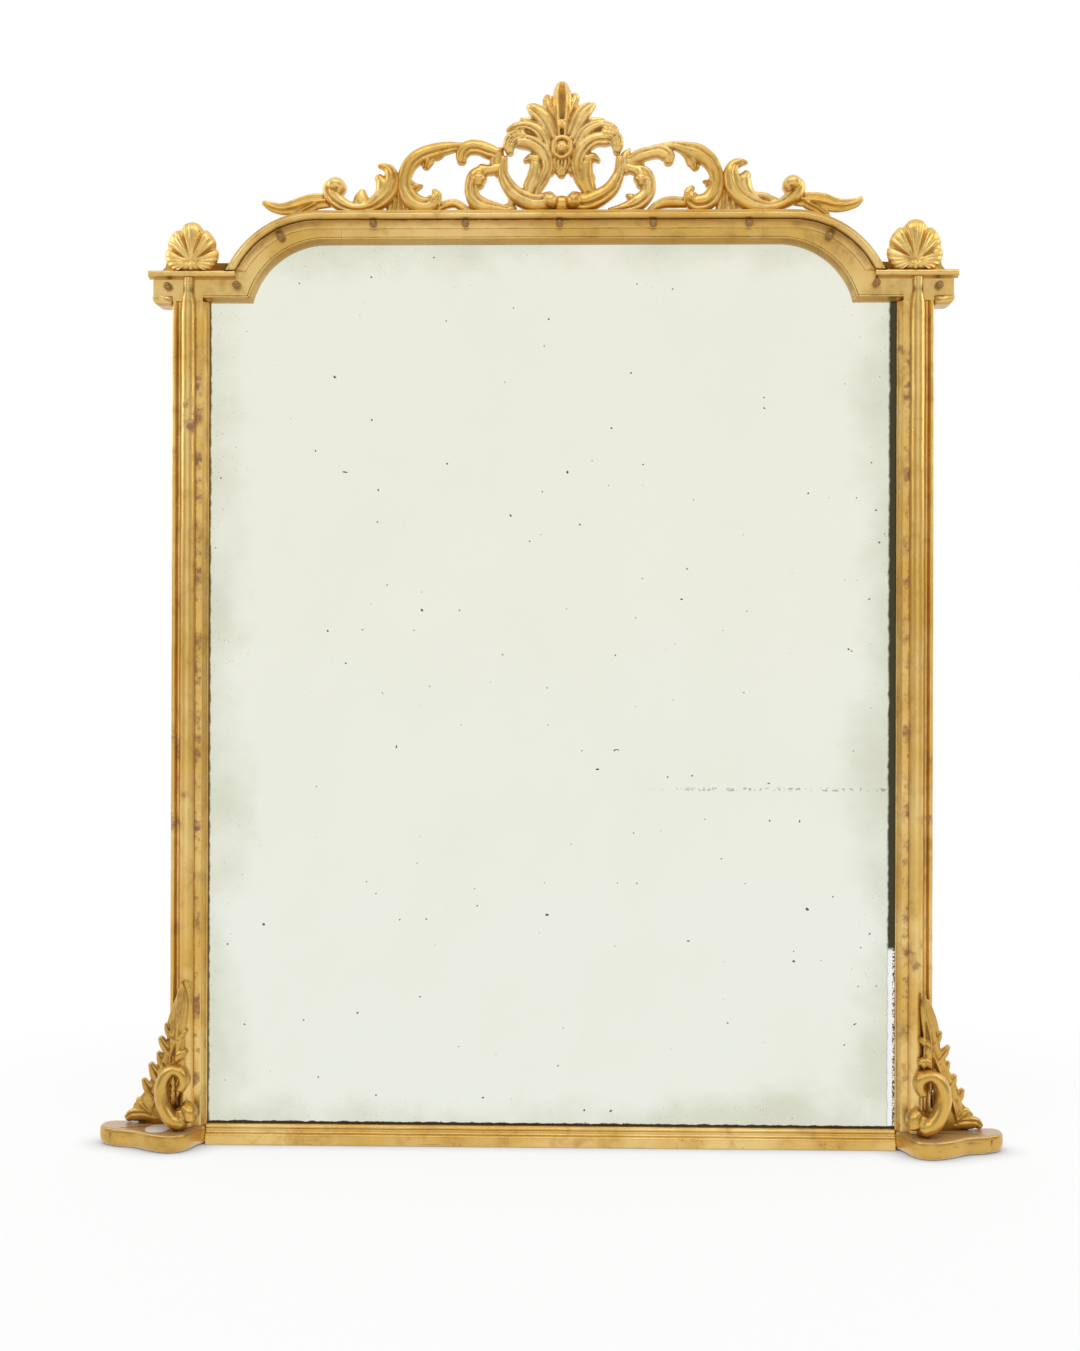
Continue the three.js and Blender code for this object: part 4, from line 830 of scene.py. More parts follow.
class PIER_OT_ears(bpy.types.Operator):
    """The shell plinths on the ears and the small ovolo mouldings under them"""
    bl_idname = "pier.ears"
    bl_label = "Plinths and ovolos"

    def execute(self, context):
        plinth_top = edge("shell_plinth_left", 1, 2)
        plinth_depth = BACK - edge("shell_plinth_left", 0, 1)
        for name, side in SIDES:
            node = f"shell_plinth_{name}"
            outer = outer_end(node)
            radius = OUTER_RADIUS + SEAM
            level = FRAME_TOP - OUTER_RADIUS
            foot = EAR_TOP + SEAM
            height = plinth_top - foot
            ogee = catmull([(0, 0), (-0.6, 0.25), (-4.0, 0.5), (-5.6, 0.72), (-6.0, 1.0)], 5)
            rows = []
            for drop, share in ogee:
                z = foot + share * height
                start = abs(OUTER_CENTRE[side]) + math.sqrt(radius ** 2 - (z - level) ** 2)
                rows.append((start, outer + drop, z))
            rings = []
            for depth in [0, *np.linspace(1.2, plinth_depth - 1.2, 8), plinth_depth - 0.3, plinth_depth]:
                pull = 0.9 if depth in (0, plinth_depth) else 0.0
                ring = [(side * end, BACK - depth, z) for start, end, z in rows]
                ring = [(x - side * pull, y, z) for x, y, z in ring]
                ring += [(side * start, BACK - depth, z - pull * 0.5) for start, end, z in rows[::-1]]
                rings.append(ring)
            moulded(f"ear_plinth_{name}", rings, "level", [node], passes=3)
            node = f"ear_ovolo_{name}"
            inner = FRAME_HALF + SEAM
            end = outer_end(node)
            low, high = edge(node, 0, 2), edge(node, 1, 2)
            bend = end - OVOLO_RADIUS
            outline = [(inner, high), (inner, low), *[(x, low) for x in np.linspace(inner, bend, 6)[1:]],
                       *arc(bend, high, OVOLO_RADIUS, -85, 0, 10)]
            depth_out = BACK - edge(node, 0, 1)
            rings = []
            for depth, shrink in ((0, 0), (depth_out - 8, 0), (depth_out - 4, 0.03), (depth_out - 1.2, 0.1),
                                  (depth_out, 0.2)):
                rings.append([(side * (inner + (x - inner) * (1 - shrink * 0.4)), BACK - depth,
                               high + (z - high) * (1 - shrink)) for x, z in outline])
            moulded(f"ovolo_{name}", rings, "level", [node], passes=3)
        return {"FINISHED"}


# ------------------------------------------------------------------ carving
# A carved ribbon is (kind, front, path): path lists [across, up, half width], and front is the
# height of its crown above the carving's back.
def section_height(kind, t):
    """Height of a ribbon's face across its width, from -1 to 1."""
    side = np.sqrt(np.clip(1 - t ** 2, 0, 1))
    if kind == "dome":
        return 0.42 + 0.58 * side
    if kind == "band":
        return 0.42 + 0.58 * side ** 0.8
    if kind == "channel":
        groove = np.exp(-((t - 0.34) / 0.17) ** 2)
        return (0.98 - 0.17 * groove) * (0.42 + 0.58 * side ** 0.75)
    if kind == "lobe":
        ridge = np.exp(-((np.abs(t) - 0.46) / 0.24) ** 2)
        return (0.66 + 0.34 * ridge) * (0.5 + 0.5 * side ** 0.5)
    if kind == "vein":
        ridge = np.exp(-(t / 0.22) ** 2)
        return (0.62 + 0.2 * np.abs(t) + 0.3 * ridge) * (0.5 + 0.5 * side ** 0.5)
    flutes = {"flutes3": 3, "flutes5": 5}[kind]
    return (0.72 + 0.26 * np.cos(flutes * math.pi * t) ** 2) * (0.5 + 0.5 * side ** 0.5)


ACROSS = np.sin(np.radians(np.linspace(-90, 90, 23)))


def ribbon(kind, front, path, place, steps=7):
    """One closed carved ribbon with rounded ends."""
    line = catmull(path, steps)
    line[:, 2] = np.maximum(line[:, 2], 1.2)
    widest = max(p[2] for p in path)
    rows = [(p[0], p[1], p[2], 1.0) for p in line]
    for at_end in (False, True):
        tip, near = (line[-1], line[-2]) if at_end else (line[0], line[1])
        way = tip[:2] - near[:2]
        way /= max(np.linalg.norm(way), 1e-9)
        reach = 0.75 * tip[2]
        extra = []
        for s in (0.3, 0.55, 0.75, 0.9, 0.985):
            shrink = math.sqrt(1 - s * s)
            x, y = tip[:2] + way * reach * s
            extra.append((x, y, tip[2] * shrink, 0.45 + 0.55 * shrink))
        rows = rows + extra if at_end else extra[::-1] + rows
    rows = np.array(rows)
    slopes = np.gradient(rows[:, :2], axis=0)
    slopes /= np.maximum(np.linalg.norm(slopes, axis=1)[:, None], 1e-9)
    face = section_height(kind, ACROSS)
    rings = []
    for (u, v, w, fall), (du, dv) in zip(rows, slopes):
        rise = front * (0.55 + 0.45 * min(w / widest, 1.0)) * fall
        ring = [place(u - dv * t * w, v + du * t * w, rise * h) for t, h in zip(ACROSS, face)]
        ring += [place(u - dv * t * w * 0.9, v + du * t * w * 0.9, 0.0) for t in (1, 0.33, -0.33, -1)]
        rings.append(ring)
    return lofted(rings)


CARVING_WAVE, CARVING_WAVER = 11.0, 0.22    # length and height of the unevenness, in millimetres


def carved(name, bodies, nodes, kind, trim, grain=None):
    """Runs the bodies together like carved wood, softens them and trims them to what they stand on."""
    piece = new_piece(name, joined(bodies))
    remesh = piece.modifiers.new("grain", "REMESH")
    remesh.mode = "VOXEL"
    remesh.voxel_size = (grain or settings().voxel) * MM * 1.0
    remesh.use_smooth_shade = True
    soften = piece.modifiers.new("soften", "SMOOTH")
    soften.factor = 0.5
    soften.iterations = 3
    flattened(piece)
    points = trim(waver(coords(piece.data).astype(float) / MM, CARVING_WAVE, CARVING_WAVER))
    set_coords(piece.data, points * MM)
    piece.data.shade_smooth()
    mark_relief(piece, passes=10, depth=0.8, broad=70)
    finish(piece, made(gilding, kind), nodes)


def trimmed(points, front, foot):
    """Points kept in front of one depth and above one level."""
    x, y, z = points.T
    return np.stack([x, np.minimum(y, front), np.maximum(z, foot)], 1)


def on_crest(u, v, height):
    return (CREST_CENTRE + u, BACK - CREST_BACK - height, FRAME_TOP + v)


def above_frame(points):
    """Keeps the carving on top of the head and the shoulders, and its back flat."""
    x = points[:, 0]
    level = FRAME_TOP - OUTER_RADIUS
    top = np.full_like(x, FRAME_TOP)
    for side in (-1, 1):
        reach = np.abs(x) - abs(OUTER_CENTRE[side])
        on_arc = (np.sign(x) == side) & (reach > 0)
        height = np.sqrt(np.clip((OUTER_RADIUS + SEAM) ** 2 - reach ** 2, 0, None))
        top = np.where(on_arc, level + height, top)
    return trimmed(points, BACK - CREST_BACK, top + SEAM)


CARTOUCHE = [
    ("dome", 17, [[2, 96, 16], [2, 125, 30], [2, 148, 31], [2, 168, 24], [2, 186, 15]]),
    ("dome", 15, [[-14, 96, 12], [-32, 124, 15], [-54, 138, 14], [-72, 136, 11]]),
    ("dome", 15, [[18, 96, 12], [36, 124, 15], [60, 140, 14], [78, 137, 11]]),
    ("lobe", 30, [[2, 112, 8], [2, 132, 9.5], [2, 151, 11.5], [2, 184, 14], [2, 203, 13], [2, 213, 9]]),
    ("dome", 31, [[2, 140, 5], [2, 146, 6], [2, 152, 5]]),
    ("flutes3", 26, [[2, 96, 16], [2, 84, 16], [1, 73, 13], [1, 64, 7]]),
    ("dome", 24, [[-21, 11, 9], [1, 15, 13], [22, 11, 9]]),
    ("dome", 31, [[-12, 108, 5], [-9, 119, 5], [2, 124, 5], [13, 119, 5], [16, 108, 5], [13, 96, 5],
                  [2, 90, 5], [-9, 96, 5], [-12, 107, 5]]),
    ("dome", 40, [[2, 101, 9], [2, 107, 10.5], [2, 112, 9]]),
    ("dome", 36, [[-22, 18, 13], [-18, 19, 15], [-15, 22, 13]]),
    ("dome", 36, [[27, 18, 13], [22, 19, 15], [19, 22, 13]]),
    # left half
    ("vein", 18, [[-6, 118, 6.5], [-9, 151, 10], [-17, 176, 11], [-22, 191, 8.5], [-24, 197, 4]]),
    ("channel", 23, [[-7, 110, 6.5], [-16, 134, 10], [-27, 156, 11.5], [-41, 170, 11], [-51, 177, 7.5],
                     [-55, 179, 3.5]]),
    ("vein", 20, [[-12, 101, 6], [-24, 131, 8.5], [-37, 148, 8.5], [-54, 154, 6], [-67, 157, 3.5]]),
    ("channel", 24, [[-14, 76, 5], [-19, 101, 6.5], [-29, 126, 8.5], [-42, 141, 8.5], [-61, 147, 6.5],
                     [-77, 144, 6], [-89, 139, 3.5]]),
    ("flutes3", 30, [[-62, 129, 9], [-78, 124, 11], [-86, 113, 10], [-85, 101, 6]]),
    ("channel", 27, [[-69, 120, 11], [-51, 117, 11.5], [-34, 106, 11.5], [-23, 90, 10], [-22, 73, 9],
                     [-29, 56, 8.5], [-37, 40, 6], [-41, 30, 5]]),
    ("dome", 24, [[-44, 91, 7.5], [-42, 75, 10], [-45, 58, 11.5], [-51, 45, 11], [-52, 36, 9]]),
    ("dome", 22, [[-39, 90, 7], [-50, 92, 7], [-60, 88, 4]]),
    ("dome", 17, [[-47, 45, 6.5], [-57, 38, 4], [-66, 36, 2]]),
    ("channel", 30, [[-95, 92, 6], [-97, 71, 8], [-92, 53, 10], [-79, 35, 12], [-61, 22, 13.5],
                     [-39, 16, 14], [-17, 19, 15]]),
    ("dome", 18, [[-6, 85, 6.5], [-14, 71, 6], [-15, 64, 2.5]]),
    # right half
    ("vein", 18, [[9, 121, 6.5], [12, 151, 10], [17, 178, 11], [22, 193, 8.5], [23, 200, 4]]),
    ("channel", 23, [[11, 110, 6.5], [21, 138, 10], [32, 161, 11.5], [44, 174, 10], [52, 179, 6.5],
                     [56, 181, 3.5]]),
    ("vein", 20, [[17, 101, 6], [27, 129, 8.5], [42, 147, 8.5], [61, 154, 6], [72, 155, 3.5]]),
    ("channel", 24, [[21, 76, 5], [24, 101, 6.5], [32, 124, 8.5], [46, 140, 8.5], [66, 148, 6.5],
                     [82, 145, 6], [94, 139, 3.5]]),
    ("flutes3", 30, [[71, 132, 9], [87, 127, 10], [94, 115, 10], [93, 102, 6]]),
    ("channel", 27, [[76, 123, 11], [57, 122, 11], [39, 110, 11.5], [28, 91, 10], [27, 73, 9],
                     [32, 55, 8.5], [39, 40, 6], [44, 30, 5]]),
    ("dome", 24, [[46, 91, 7.5], [42, 75, 11], [42, 58, 12.5], [47, 43, 11], [51, 35, 8.5]]),
    ("dome", 22, [[42, 90, 7], [54, 93, 7], [63, 88, 4]]),
    ("dome", 17, [[47, 66, 6.5], [54, 61, 4], [56, 55, 2]]),
    ("channel", 30, [[98, 92, 6], [98, 71, 8], [93, 55, 10], [81, 37, 12], [62, 24, 13.5], [42, 17, 14],
                     [21, 19, 15]]),
    ("dome", 18, [[9, 85, 6.5], [17, 71, 6], [18, 64, 2.5]]),
]
INNER_LEFT = [
    ("dome", 31, [[-137, 48, 9], [-137, 57, 13], [-137, 65, 9]]),
    ("channel", 26, [[-129, 72, 9], [-144, 60, 11.5], [-149, 40, 11], [-144, 23, 11.5], [-130, 12, 12.5],
                     [-110, 9, 9], [-90, 6, 6.5], [-76, 8, 4]]),
    ("dome", 20, [[-100, 109, 4], [-105, 96, 10], [-107, 81, 11], [-104, 65, 6]]),
    ("dome", 22, [[-134, 73, 9], [-120, 72, 8.5], [-105, 75, 8.5], [-92, 80, 5]]),
    ("channel", 24, [[-105, 99, 9], [-122, 105, 11], [-139, 110, 11], [-155, 109, 11], [-165, 99, 10],
                     [-166, 87, 7.5]]),
    ("dome", 18, [[-129, 101, 6.5], [-119, 95, 5], [-112, 90, 2.5]]),
    ("channel", 26, [[-162, 114, 4], [-187, 110, 9], [-210, 105, 11], [-232, 98, 11.5], [-249, 86, 11.5],
                     [-258, 71, 11], [-262, 53, 11], [-258, 35, 12.5], [-246, 19, 14], [-227, 12, 13.5],
                     [-212, 18, 12]]),
    ("flutes3", 28, [[-213, 18, 11.5], [-208, 29, 8.5], [-212, 38, 4]]),
    ("vein", 22, [[-220, 101, 9], [-223, 88, 10], [-226, 79, 6.5]]),
    ("dome", 18, [[-198, 103, 6.5], [-203, 95, 4], [-209, 91, 2.5]]),
    ("vein", 21, [[-260, 51, 8.5], [-248, 44, 9], [-238, 45, 5], [-232, 48, 2]]),
    ("channel", 19, [[-205, 6, 4], [-192, 15, 6.5], [-177, 17, 6.5], [-164, 10, 6.5], [-152, 2, 5]]),
    ("dome", 18, [[-84, 32, 5], [-82, 20, 6], [-86, 10, 6], [-93, 15, 2]]),
]
INNER_RIGHT = [
    ("dome", 31, [[134, 47, 8], [134, 56, 12], [134, 64, 8]]),
    ("channel", 26, [[127, 72, 9], [141, 63, 11.5], [147, 46, 11], [143, 30, 11.5], [129, 17, 12.5],
                     [112, 10, 9], [94, 6, 6], [81, 5, 3.5]]),
    ("dome", 20, [[115, 107, 2.5], [108, 96, 7.5], [107, 81, 9], [110, 68, 5]]),
    ("dome", 22, [[132, 71, 9], [120, 73, 8.5], [107, 78, 6.5], [94, 82, 5]]),
    ("dome", 20, [[125, 22, 8.5], [117, 26, 6.5], [111, 30, 3.5]]),
    ("channel", 24, [[112, 85, 6.5], [129, 94, 10], [149, 100, 10], [165, 102, 11], [178, 95, 11],
                     [180, 85, 7.5]]),
    ("dome", 18, [[122, 78, 8.5], [132, 80, 5], [139, 82, 2]]),
    ("channel", 26, [[158, 110, 3.5], [185, 113, 6], [208, 107, 10], [228, 100, 13.5], [247, 87, 12.5],
                     [257, 71, 11], [261, 53, 11], [257, 35, 12.5], [246, 20, 13.5], [227, 15, 13.5],
                     [216, 23, 11.5]]),
    ("flutes3", 28, [[217, 24, 11], [214, 34, 7.5], [220, 42, 4]]),
    ("vein", 22, [[215, 98, 10], [222, 85, 11.5], [225, 76, 6.5]]),
    ("dome", 18, [[202, 106, 6], [208, 96, 4], [212, 87, 2]]),
    ("vein", 21, [[258, 55, 8.5], [249, 48, 7.5], [242, 52, 3.5], [238, 53, 2]]),
    ("channel", 19, [[147, 2, 5], [160, 12, 6.5], [177, 18, 8.5], [197, 18, 8.5], [213, 16, 6.5]]),
]
OUTER_LEFT = [
    ("channel", 28, [[-305, 80, 2.5], [-295, 78, 5.5], [-286, 71, 9], [-282, 56, 11.5], [-288, 37, 13.5],
                     [-303, 21, 13.5], [-323, 10, 10], [-346, 8, 9], [-366, 15, 11], [-381, 28, 12.5],
                     [-385, 42, 12], [-378, 50, 10]]),
    ("dome", 34, [[-383, 44, 11], [-376, 47, 12], [-369, 42, 10], [-369, 34, 6]]),
    ("dome", 24, [[-305, 61, 6.5], [-299, 51, 10], [-298, 37, 11], [-308, 24, 8.5], [-320, 17, 5]]),
    ("dome", 22, [[-334, 15, 14], [-334, 28, 11], [-333, 37, 6]]),
    ("flutes5", 22, [[-271, 51, 3], [-271, 35, 8.5], [-271, 18, 15], [-271, -2, 21.5]]),
    ("vein", 19, [[-382, 22, 9], [-408, 21, 12], [-427, 18, 12], [-447, 12, 11], [-467, 9, 9],
                  [-486, 13, 7], [-499, 20, 3.5]]),
    ("vein", 19, [[-412, 16, 9], [-432, 6, 8.5], [-446, -4, 7], [-452, -12, 3]]),
]
OUTER_RIGHT = [
    ("channel", 28, [[310, 84, 2.5], [300, 84, 6], [288, 78, 9], [284, 61, 12.5], [290, 40, 14],
                     [303, 24, 14], [325, 12, 12.5], [349, 9, 9], [371, 16, 9], [388, 29, 12.5],
                     [394, 43, 12], [388, 51, 10]]),
    ("dome", 34, [[393, 45, 11], [386, 48, 12], [379, 43, 10], [379, 35, 6]]),
    ("dome", 24, [[311, 66, 6], [306, 55, 11], [308, 40, 11], [318, 27, 9], [333, 18, 6.5]]),
    ("dome", 20, [[326, 31, 4], [341, 27, 6], [358, 20, 5]]),
    ("flutes5", 22, [[275, 48, 3], [276, 33, 8.5], [278, 18, 16], [281, -2, 23]]),
    ("vein", 19, [[392, 22, 9], [417, 21, 12], [437, 18, 13], [457, 13, 11], [476, 13, 9],
                  [492, 17, 7], [502, 24, 4]]),
    ("vein", 19, [[412, 16, 9], [428, 8, 8.5], [440, -2, 7], [448, -10, 3]]),
]
CREST_SWELL = 1.13                # how much fuller the ribbons are than they are drawn here


class PIER_OT_crest(bpy.types.Operator):
    """The pierced carved crest: cartouche, inner scrolls and outer scrolls with their sprays"""
    bl_idname = "pier.crest"
    bl_label = "Crest"

    def execute(self, context):
        for name, ribbons in (("cartouche", CARTOUCHE), ("inner_left", INNER_LEFT),
                              ("inner_right", INNER_RIGHT), ("outer_left", OUTER_LEFT),
                              ("outer_right", OUTER_RIGHT)):
            bodies = [ribbon(kind, front, [[u, v, w * CREST_SWELL] for u, v, w in path], on_crest)
                      for kind, front, path in ribbons]
            carved(f"carved_{name}", bodies, [f"crest_{name}"], "carving", above_frame)
        return {"FINISHED"}


# Reach of each lobe of a shell from its hinge, by its angle from upright, outer side first.
SHELLS = {
    "left": [(-125, 30), (-80, 46), (-37, 57), (0, 70), (37, 57), (80, 45), (125, 30)],
    "right": [(-125, 30), (-80, 47), (-36, 59), (2, 72), (38, 60), (82, 46), (125, 30)],
}
SHELL_HINGE = (-3.0, 14.0)
SHELL_RELIEF = 20.0
NOTCH_DEPTH = 4.5
# The rings of a shell, as shares of its reach.
SHELL_SHARES = [0.06, 0.13, 0.22, 0.32, 0.42, 0.52, 0.62, 0.72, 0.81, 0.89, 0.95, 0.985, 1.0]


def shell_body(lobes, place):
    """A scallop: fluted lobes that spread from the hinge, hollowed between their tips."""
    lobes = np.array(lobes, float)
    angles = np.linspace(lobes[0, 0], lobes[-1, 0], 181)
    radians = np.radians(angles)
    reach = spread_line(np.interp(angles, *lobes.T), 40)
    bounds = (lobes[1:, 0] + lobes[:-1, 0]) / 2
    gap = np.abs(angles[:, None] - bounds[None, 1:-1]).min(1)
    reach -= NOTCH_DEPTH * np.exp(-(gap / 5.5) ** 2)
    rings = []
    for share in SHELL_SHARES:
        swell = 0.62 + 0.38 * np.sin(math.pi * min(share * 0.8 + 0.12, 1.0))
        rim = math.sqrt(max(1 - (max(share - 0.78, 0) / 0.22) ** 2, 0)) * 0.6 + 0.4
        valley = 0.30 * min(share * 1.8, 1.0) * np.exp(-(gap / (3.5 + 3.5 * share)) ** 2)
        flutes = 0.075 * share * np.cos(angles / 12.3 * 2 * math.pi)
        height = SHELL_RELIEF * swell * rim * (1 - valley + flutes)
        u = SHELL_HINGE[0] + reach * share * np.sin(radians)
        v = SHELL_HINGE[1] + reach * share * np.cos(radians)
        face = [place(*p) for p in zip(u, v, height)]
        rings.append(face + [place(*p) for p in zip(u[::-1], v[::-1], 0 * v)])
    return lofted(rings)


def spread_line(values, passes):
    """A row of values, each averaged with its two neighbours, this many times."""
    for _ in range(passes):
        values = np.concatenate([values[:1], (values[:-2] + 2 * values[1:-1] + values[2:]) / 4, values[-1:]])
    return values


class PIER_OT_shells(bpy.types.Operator):
    """A fluted shell on each ear"""
    bl_idname = "pier.shells"
    bl_label = "Corner shells"

    def execute(self, context):
        middle = (SIGHT_HALF + FRAME_HALF) / 2
        for name, side in SIDES:
            back = edge(f"shell_plinth_{name}", 0, 1) - SEAM

            def place(u, v, height):
                return (side * (middle + u), back - height, EAR_TOP + v)

            def trim(points):
                return trimmed(points, back, EAR_TOP + SEAM)

            roll = ribbon("dome", 19, [[-30, 14, 8], [-16, 9, 9], [-3, 9, 9], [11, 9, 9], [24, 14, 8]], place)
            knob = ribbon("dome", 23, [[-3, 2, 5], [-3, 8, 7], [-3, 14, 5]], place)
            carved(f"carved_shell_{name}", [shell_body(SHELLS[name], place), roll, knob],
                   [f"corner_shell_{name}"], "carving", trim, grain=0.9)
        return {"FINISHED"}


# Bracket points are [out from the pilaster's edge, above the shelf, half width].
LEAVES = {
    "left": [
        ("dome", 19, [[-22, 230, 4], [-21, 218, 7], [-17, 193, 13], [-13, 167, 17], [-12, 141, 17],
                      [-7, 112, 23], [-1, 88, 28], [9, 62, 29], [19, 41, 30], [34, 14, 36]]),
        ("vein", 25, [[-23, 243, 1.5], [-28, 222, 5.5], [-27, 199, 8.5], [-21, 171, 11], [-12, 142, 12.5],
                      [-1, 109, 13.5], [14, 71, 13.5], [28, 37, 11.5], [38, 8, 9]]),
        ("vein", 21, [[-12, 140, 8.5], [-1, 159, 7.5], [4, 171, 3.5]]),
        ("channel", 21, [[-6, 114, 8.5], [7, 133, 8.5], [14, 147, 5]]),
        ("vein", 22, [[5, 90, 10], [14, 109, 8.5], [19, 121, 4]]),
        ("channel", 21, [[15, 64, 11.5], [26, 87, 10], [33, 101, 5]]),
        ("vein", 22, [[25, 38, 11.5], [39, 61, 9], [46, 74, 4.5]]),
        ("channel", 21, [[34, 18, 10], [48, 32, 8.5], [58, 40, 4]]),
        ("channel", 22, [[27, 9, 9], [45, 14, 11.5], [66, 13, 11], [76, 8, 7]]),
        ("dome", 20, [[-19, 151, 6.5], [-27, 159, 6], [-32, 163, 3.5]]),
        ("dome", 21, [[-14, 116, 8.5], [-25, 125, 8.5], [-31, 128, 5]]),
        ("dome", 21, [[-9, 96, 10], [-22, 99, 8.5], [-29, 96, 5]]),
    ],
    "right": [
        ("dome", 19, [[-12, 220, 4], [-9, 208, 7], [-6, 192, 10], [-4, 175, 13], [-3, 155, 15], [-2, 135, 16],
                      [2, 116, 21], [8, 96, 22], [19, 69, 25], [27, 38, 27], [36, 14, 38]]),
        ("vein", 25, [[-16, 231, 2], [-17, 212, 6], [-13, 190, 9], [-7, 164, 11.5], [-2, 138, 13.5],
                      [9, 109, 14], [24, 74, 14], [37, 43, 13.5], [46, 8, 10]]),
        ("vein", 21, [[0, 143, 8.5], [8, 159, 6.5], [12, 167, 3.5]]),
        ("channel", 21, [[9, 118, 9], [19, 133, 7.5], [26, 143, 3.5]]),
        ("vein", 22, [[15, 93, 9], [23, 107, 6.5], [27, 116, 3.5]]),
        ("channel", 21, [[24, 69, 11], [34, 83, 8.5], [38, 93, 4]]),
        ("vein", 22, [[35, 43, 11], [46, 57, 8.5], [52, 68, 4.5]]),
        ("channel", 21, [[44, 19, 10], [56, 29, 7.5], [63, 33, 4]]),
        ("channel", 22, [[39, 9, 9], [58, 12, 11.5], [75, 12, 10], [84, 6, 6]]),
        ("dome", 20, [[-4, 145, 6.5], [-15, 154, 7.5], [-21, 157, 5]]),
        ("dome", 21, [[-2, 114, 9], [-16, 120, 10], [-23, 121, 6]]),
        ("dome", 21, [[1, 99, 10], [-9, 102, 6.5], [-15, 100, 3.5]]),
    ],
}
SCROLLS = {
    "left": [
        ("band", 37, [[-24, 68, 8], [-30, 80, 9], [-26, 94, 10], [-13, 99, 10], [-1, 91, 11], [6, 75, 11.5],
                      [7, 55, 11.5], [2, 35, 12], [-10, 18, 13], [-25, 13, 14]]),
        ("dome", 37, [[-40, 20, 11], [-39, 32, 12], [-31, 40, 8]]),
        ("dome", 35, [[-27, 22, 12], [-24, 32, 9]]),
    ],
    "right": [
        ("band", 37, [[-20, 70, 8], [-26, 82, 9.5], [-23, 94, 11], [-9, 99, 10], [4, 93, 11], [13, 78, 12],
                      [14, 56, 12.5], [8, 36, 13.5], [-4, 20, 14.5], [-19, 13, 15]]),
        ("dome", 37, [[-35, 18, 12], [-35, 31, 12], [-27, 40, 8]]),
        ("dome", 35, [[-22, 21, 13], [-19, 32, 9]]),
    ],
}
BRACKET_DEPTH = 82.0              # how far from the back a leaf may stand out


class PIER_OT_brackets(bpy.types.Operator):
    """A serrated leaf and a C-scroll at the foot of each pilaster"""
    bl_idname = "pier.brackets"
    bl_label = "Shelf brackets"

    def execute(self, context):
        foot = SHELF_TOP + SEAM
        column_front = BACK - COLUMN_DEPTH - SEAM
        for name, side in SIDES:
            column = sorted(abs(edge(f"column_{name}", corner, 0)) for corner in (0, 1))

            def leaf_place(u, v, height):
                # The leaf leans forwards, and wraps over the pilaster's bead and the column.
                over_bead = np.clip((6 - u) / 10, 0, 1) * (BOARD_DEPTH + BEAD_RISE)
                over_column = np.clip((-8 - u) / 8, 0, 1) * (COLUMN_DEPTH + SEAM)
                depth = max(np.interp(v, (0, 220), (6, 58)), over_bead, over_column)
                height = min(height, BRACKET_DEPTH - depth)
                return (side * (FRAME_HALF + u), BACK - depth - height, SHELF_TOP + v)

            def scroll_place(u, v, height):
                return (side * (FRAME_HALF + u), column_front - height, SHELF_TOP + v)

            def clear_of_pilaster(points):
                out = np.abs(points[:, 0])
                front = np.where(out < FRAME_HALF + SEAM, BACK - BOARD_DEPTH - BEAD_RISE, BACK)
                on_column = (out > column[0] - SEAM) & (out < column[1] + SEAM)
                return trimmed(points, np.where(on_column, column_front, front), foot)

            def clear_of_column(points):
                return trimmed(points, column_front, foot)

            for part, bodies, place, trim in (("leaf", LEAVES, leaf_place, clear_of_pilaster),
                                              ("scroll", SCROLLS, scroll_place, clear_of_column)):
                carved(f"carved_{part}_{name}", [ribbon(*one, place) for one in bodies[name]],
                       [f"bracket_{part}_{name}"], "bracket", trim, grain=1.0)
        return {"FINISHED"}


# ------------------------------------------------------------------ what repeats
def repeated_tree(name, shape, lengths):
    """A Geometry Nodes tree that puts one shape, made by shape(tree, inputs), on each point of a mesh."""
    tree = bpy.data.node_groups.new(name, "GeometryNodeTree")
    tree.interface.new_socket("Geometry", in_out="INPUT", socket_type="NodeSocketGeometry")
    for label, default in lengths.items():
        socket = tree.interface.new_socket(label, in_out="INPUT", socket_type="NodeSocketFloat")
        socket.subtype = "DISTANCE"
        socket.default_value = default
    tree.interface.new_socket("Material", in_out="INPUT", socket_type="NodeSocketMaterial")
    tree.interface.new_socket("Geometry", in_out="OUTPUT", socket_type="NodeSocketGeometry")
    given = add_node(tree, "NodeGroupInput").outputs
    points = fed(tree, "GeometryNodeMeshToPoints", Mesh=given["Geometry"])
    instances = fed(tree, "GeometryNodeInstanceOnPoints", Points=points.outputs["Points"],
                    Instance=shape(tree, given))
    real = fed(tree, "GeometryNodeRealizeInstances", Geometry=instances.outputs["Instances"])
    smooth = fed(tree, "GeometryNodeSetShadeSmooth", Geometry=real.outputs["Geometry"])
    painted = fed(tree, "GeometryNodeSetMaterial", Geometry=smooth.outputs["Geometry"],
                  Material=given["Material"])
    fed(tree, "NodeGroupOutput", Geometry=painted.outputs["Geometry"])
    return tree


QUARTER_TURN = (math.pi / 2, 0, 0)


def stud_shape(tree, given):
    """A turned ball on a short neck that stands on the frieze."""
    ball = fed(tree, "GeometryNodeMeshUVSphere", Segments=40, Rings=24, Radius=given["Radius"])
    neck = fed(tree, "GeometryNodeMeshCylinder", Vertices=32, Radius=times(tree, given["Radius"], 0.62),
               Depth=given["Neck"])
    middle = fed(tree, "ShaderNodeCombineXYZ", Y=times(tree, given["Neck"], 0.5))
    turned = fed(tree, "GeometryNodeTransform", Geometry=neck.outputs["Mesh"], Translation=middle.outputs[0],
                 Rotation=QUARTER_TURN)
    both = add_node(tree, "GeometryNodeJoinGeometry")
    wire(tree, ball.outputs["Mesh"], both.inputs[0])
    wire(tree, turned.outputs["Geometry"], both.inputs[0])
    return both.outputs[0]


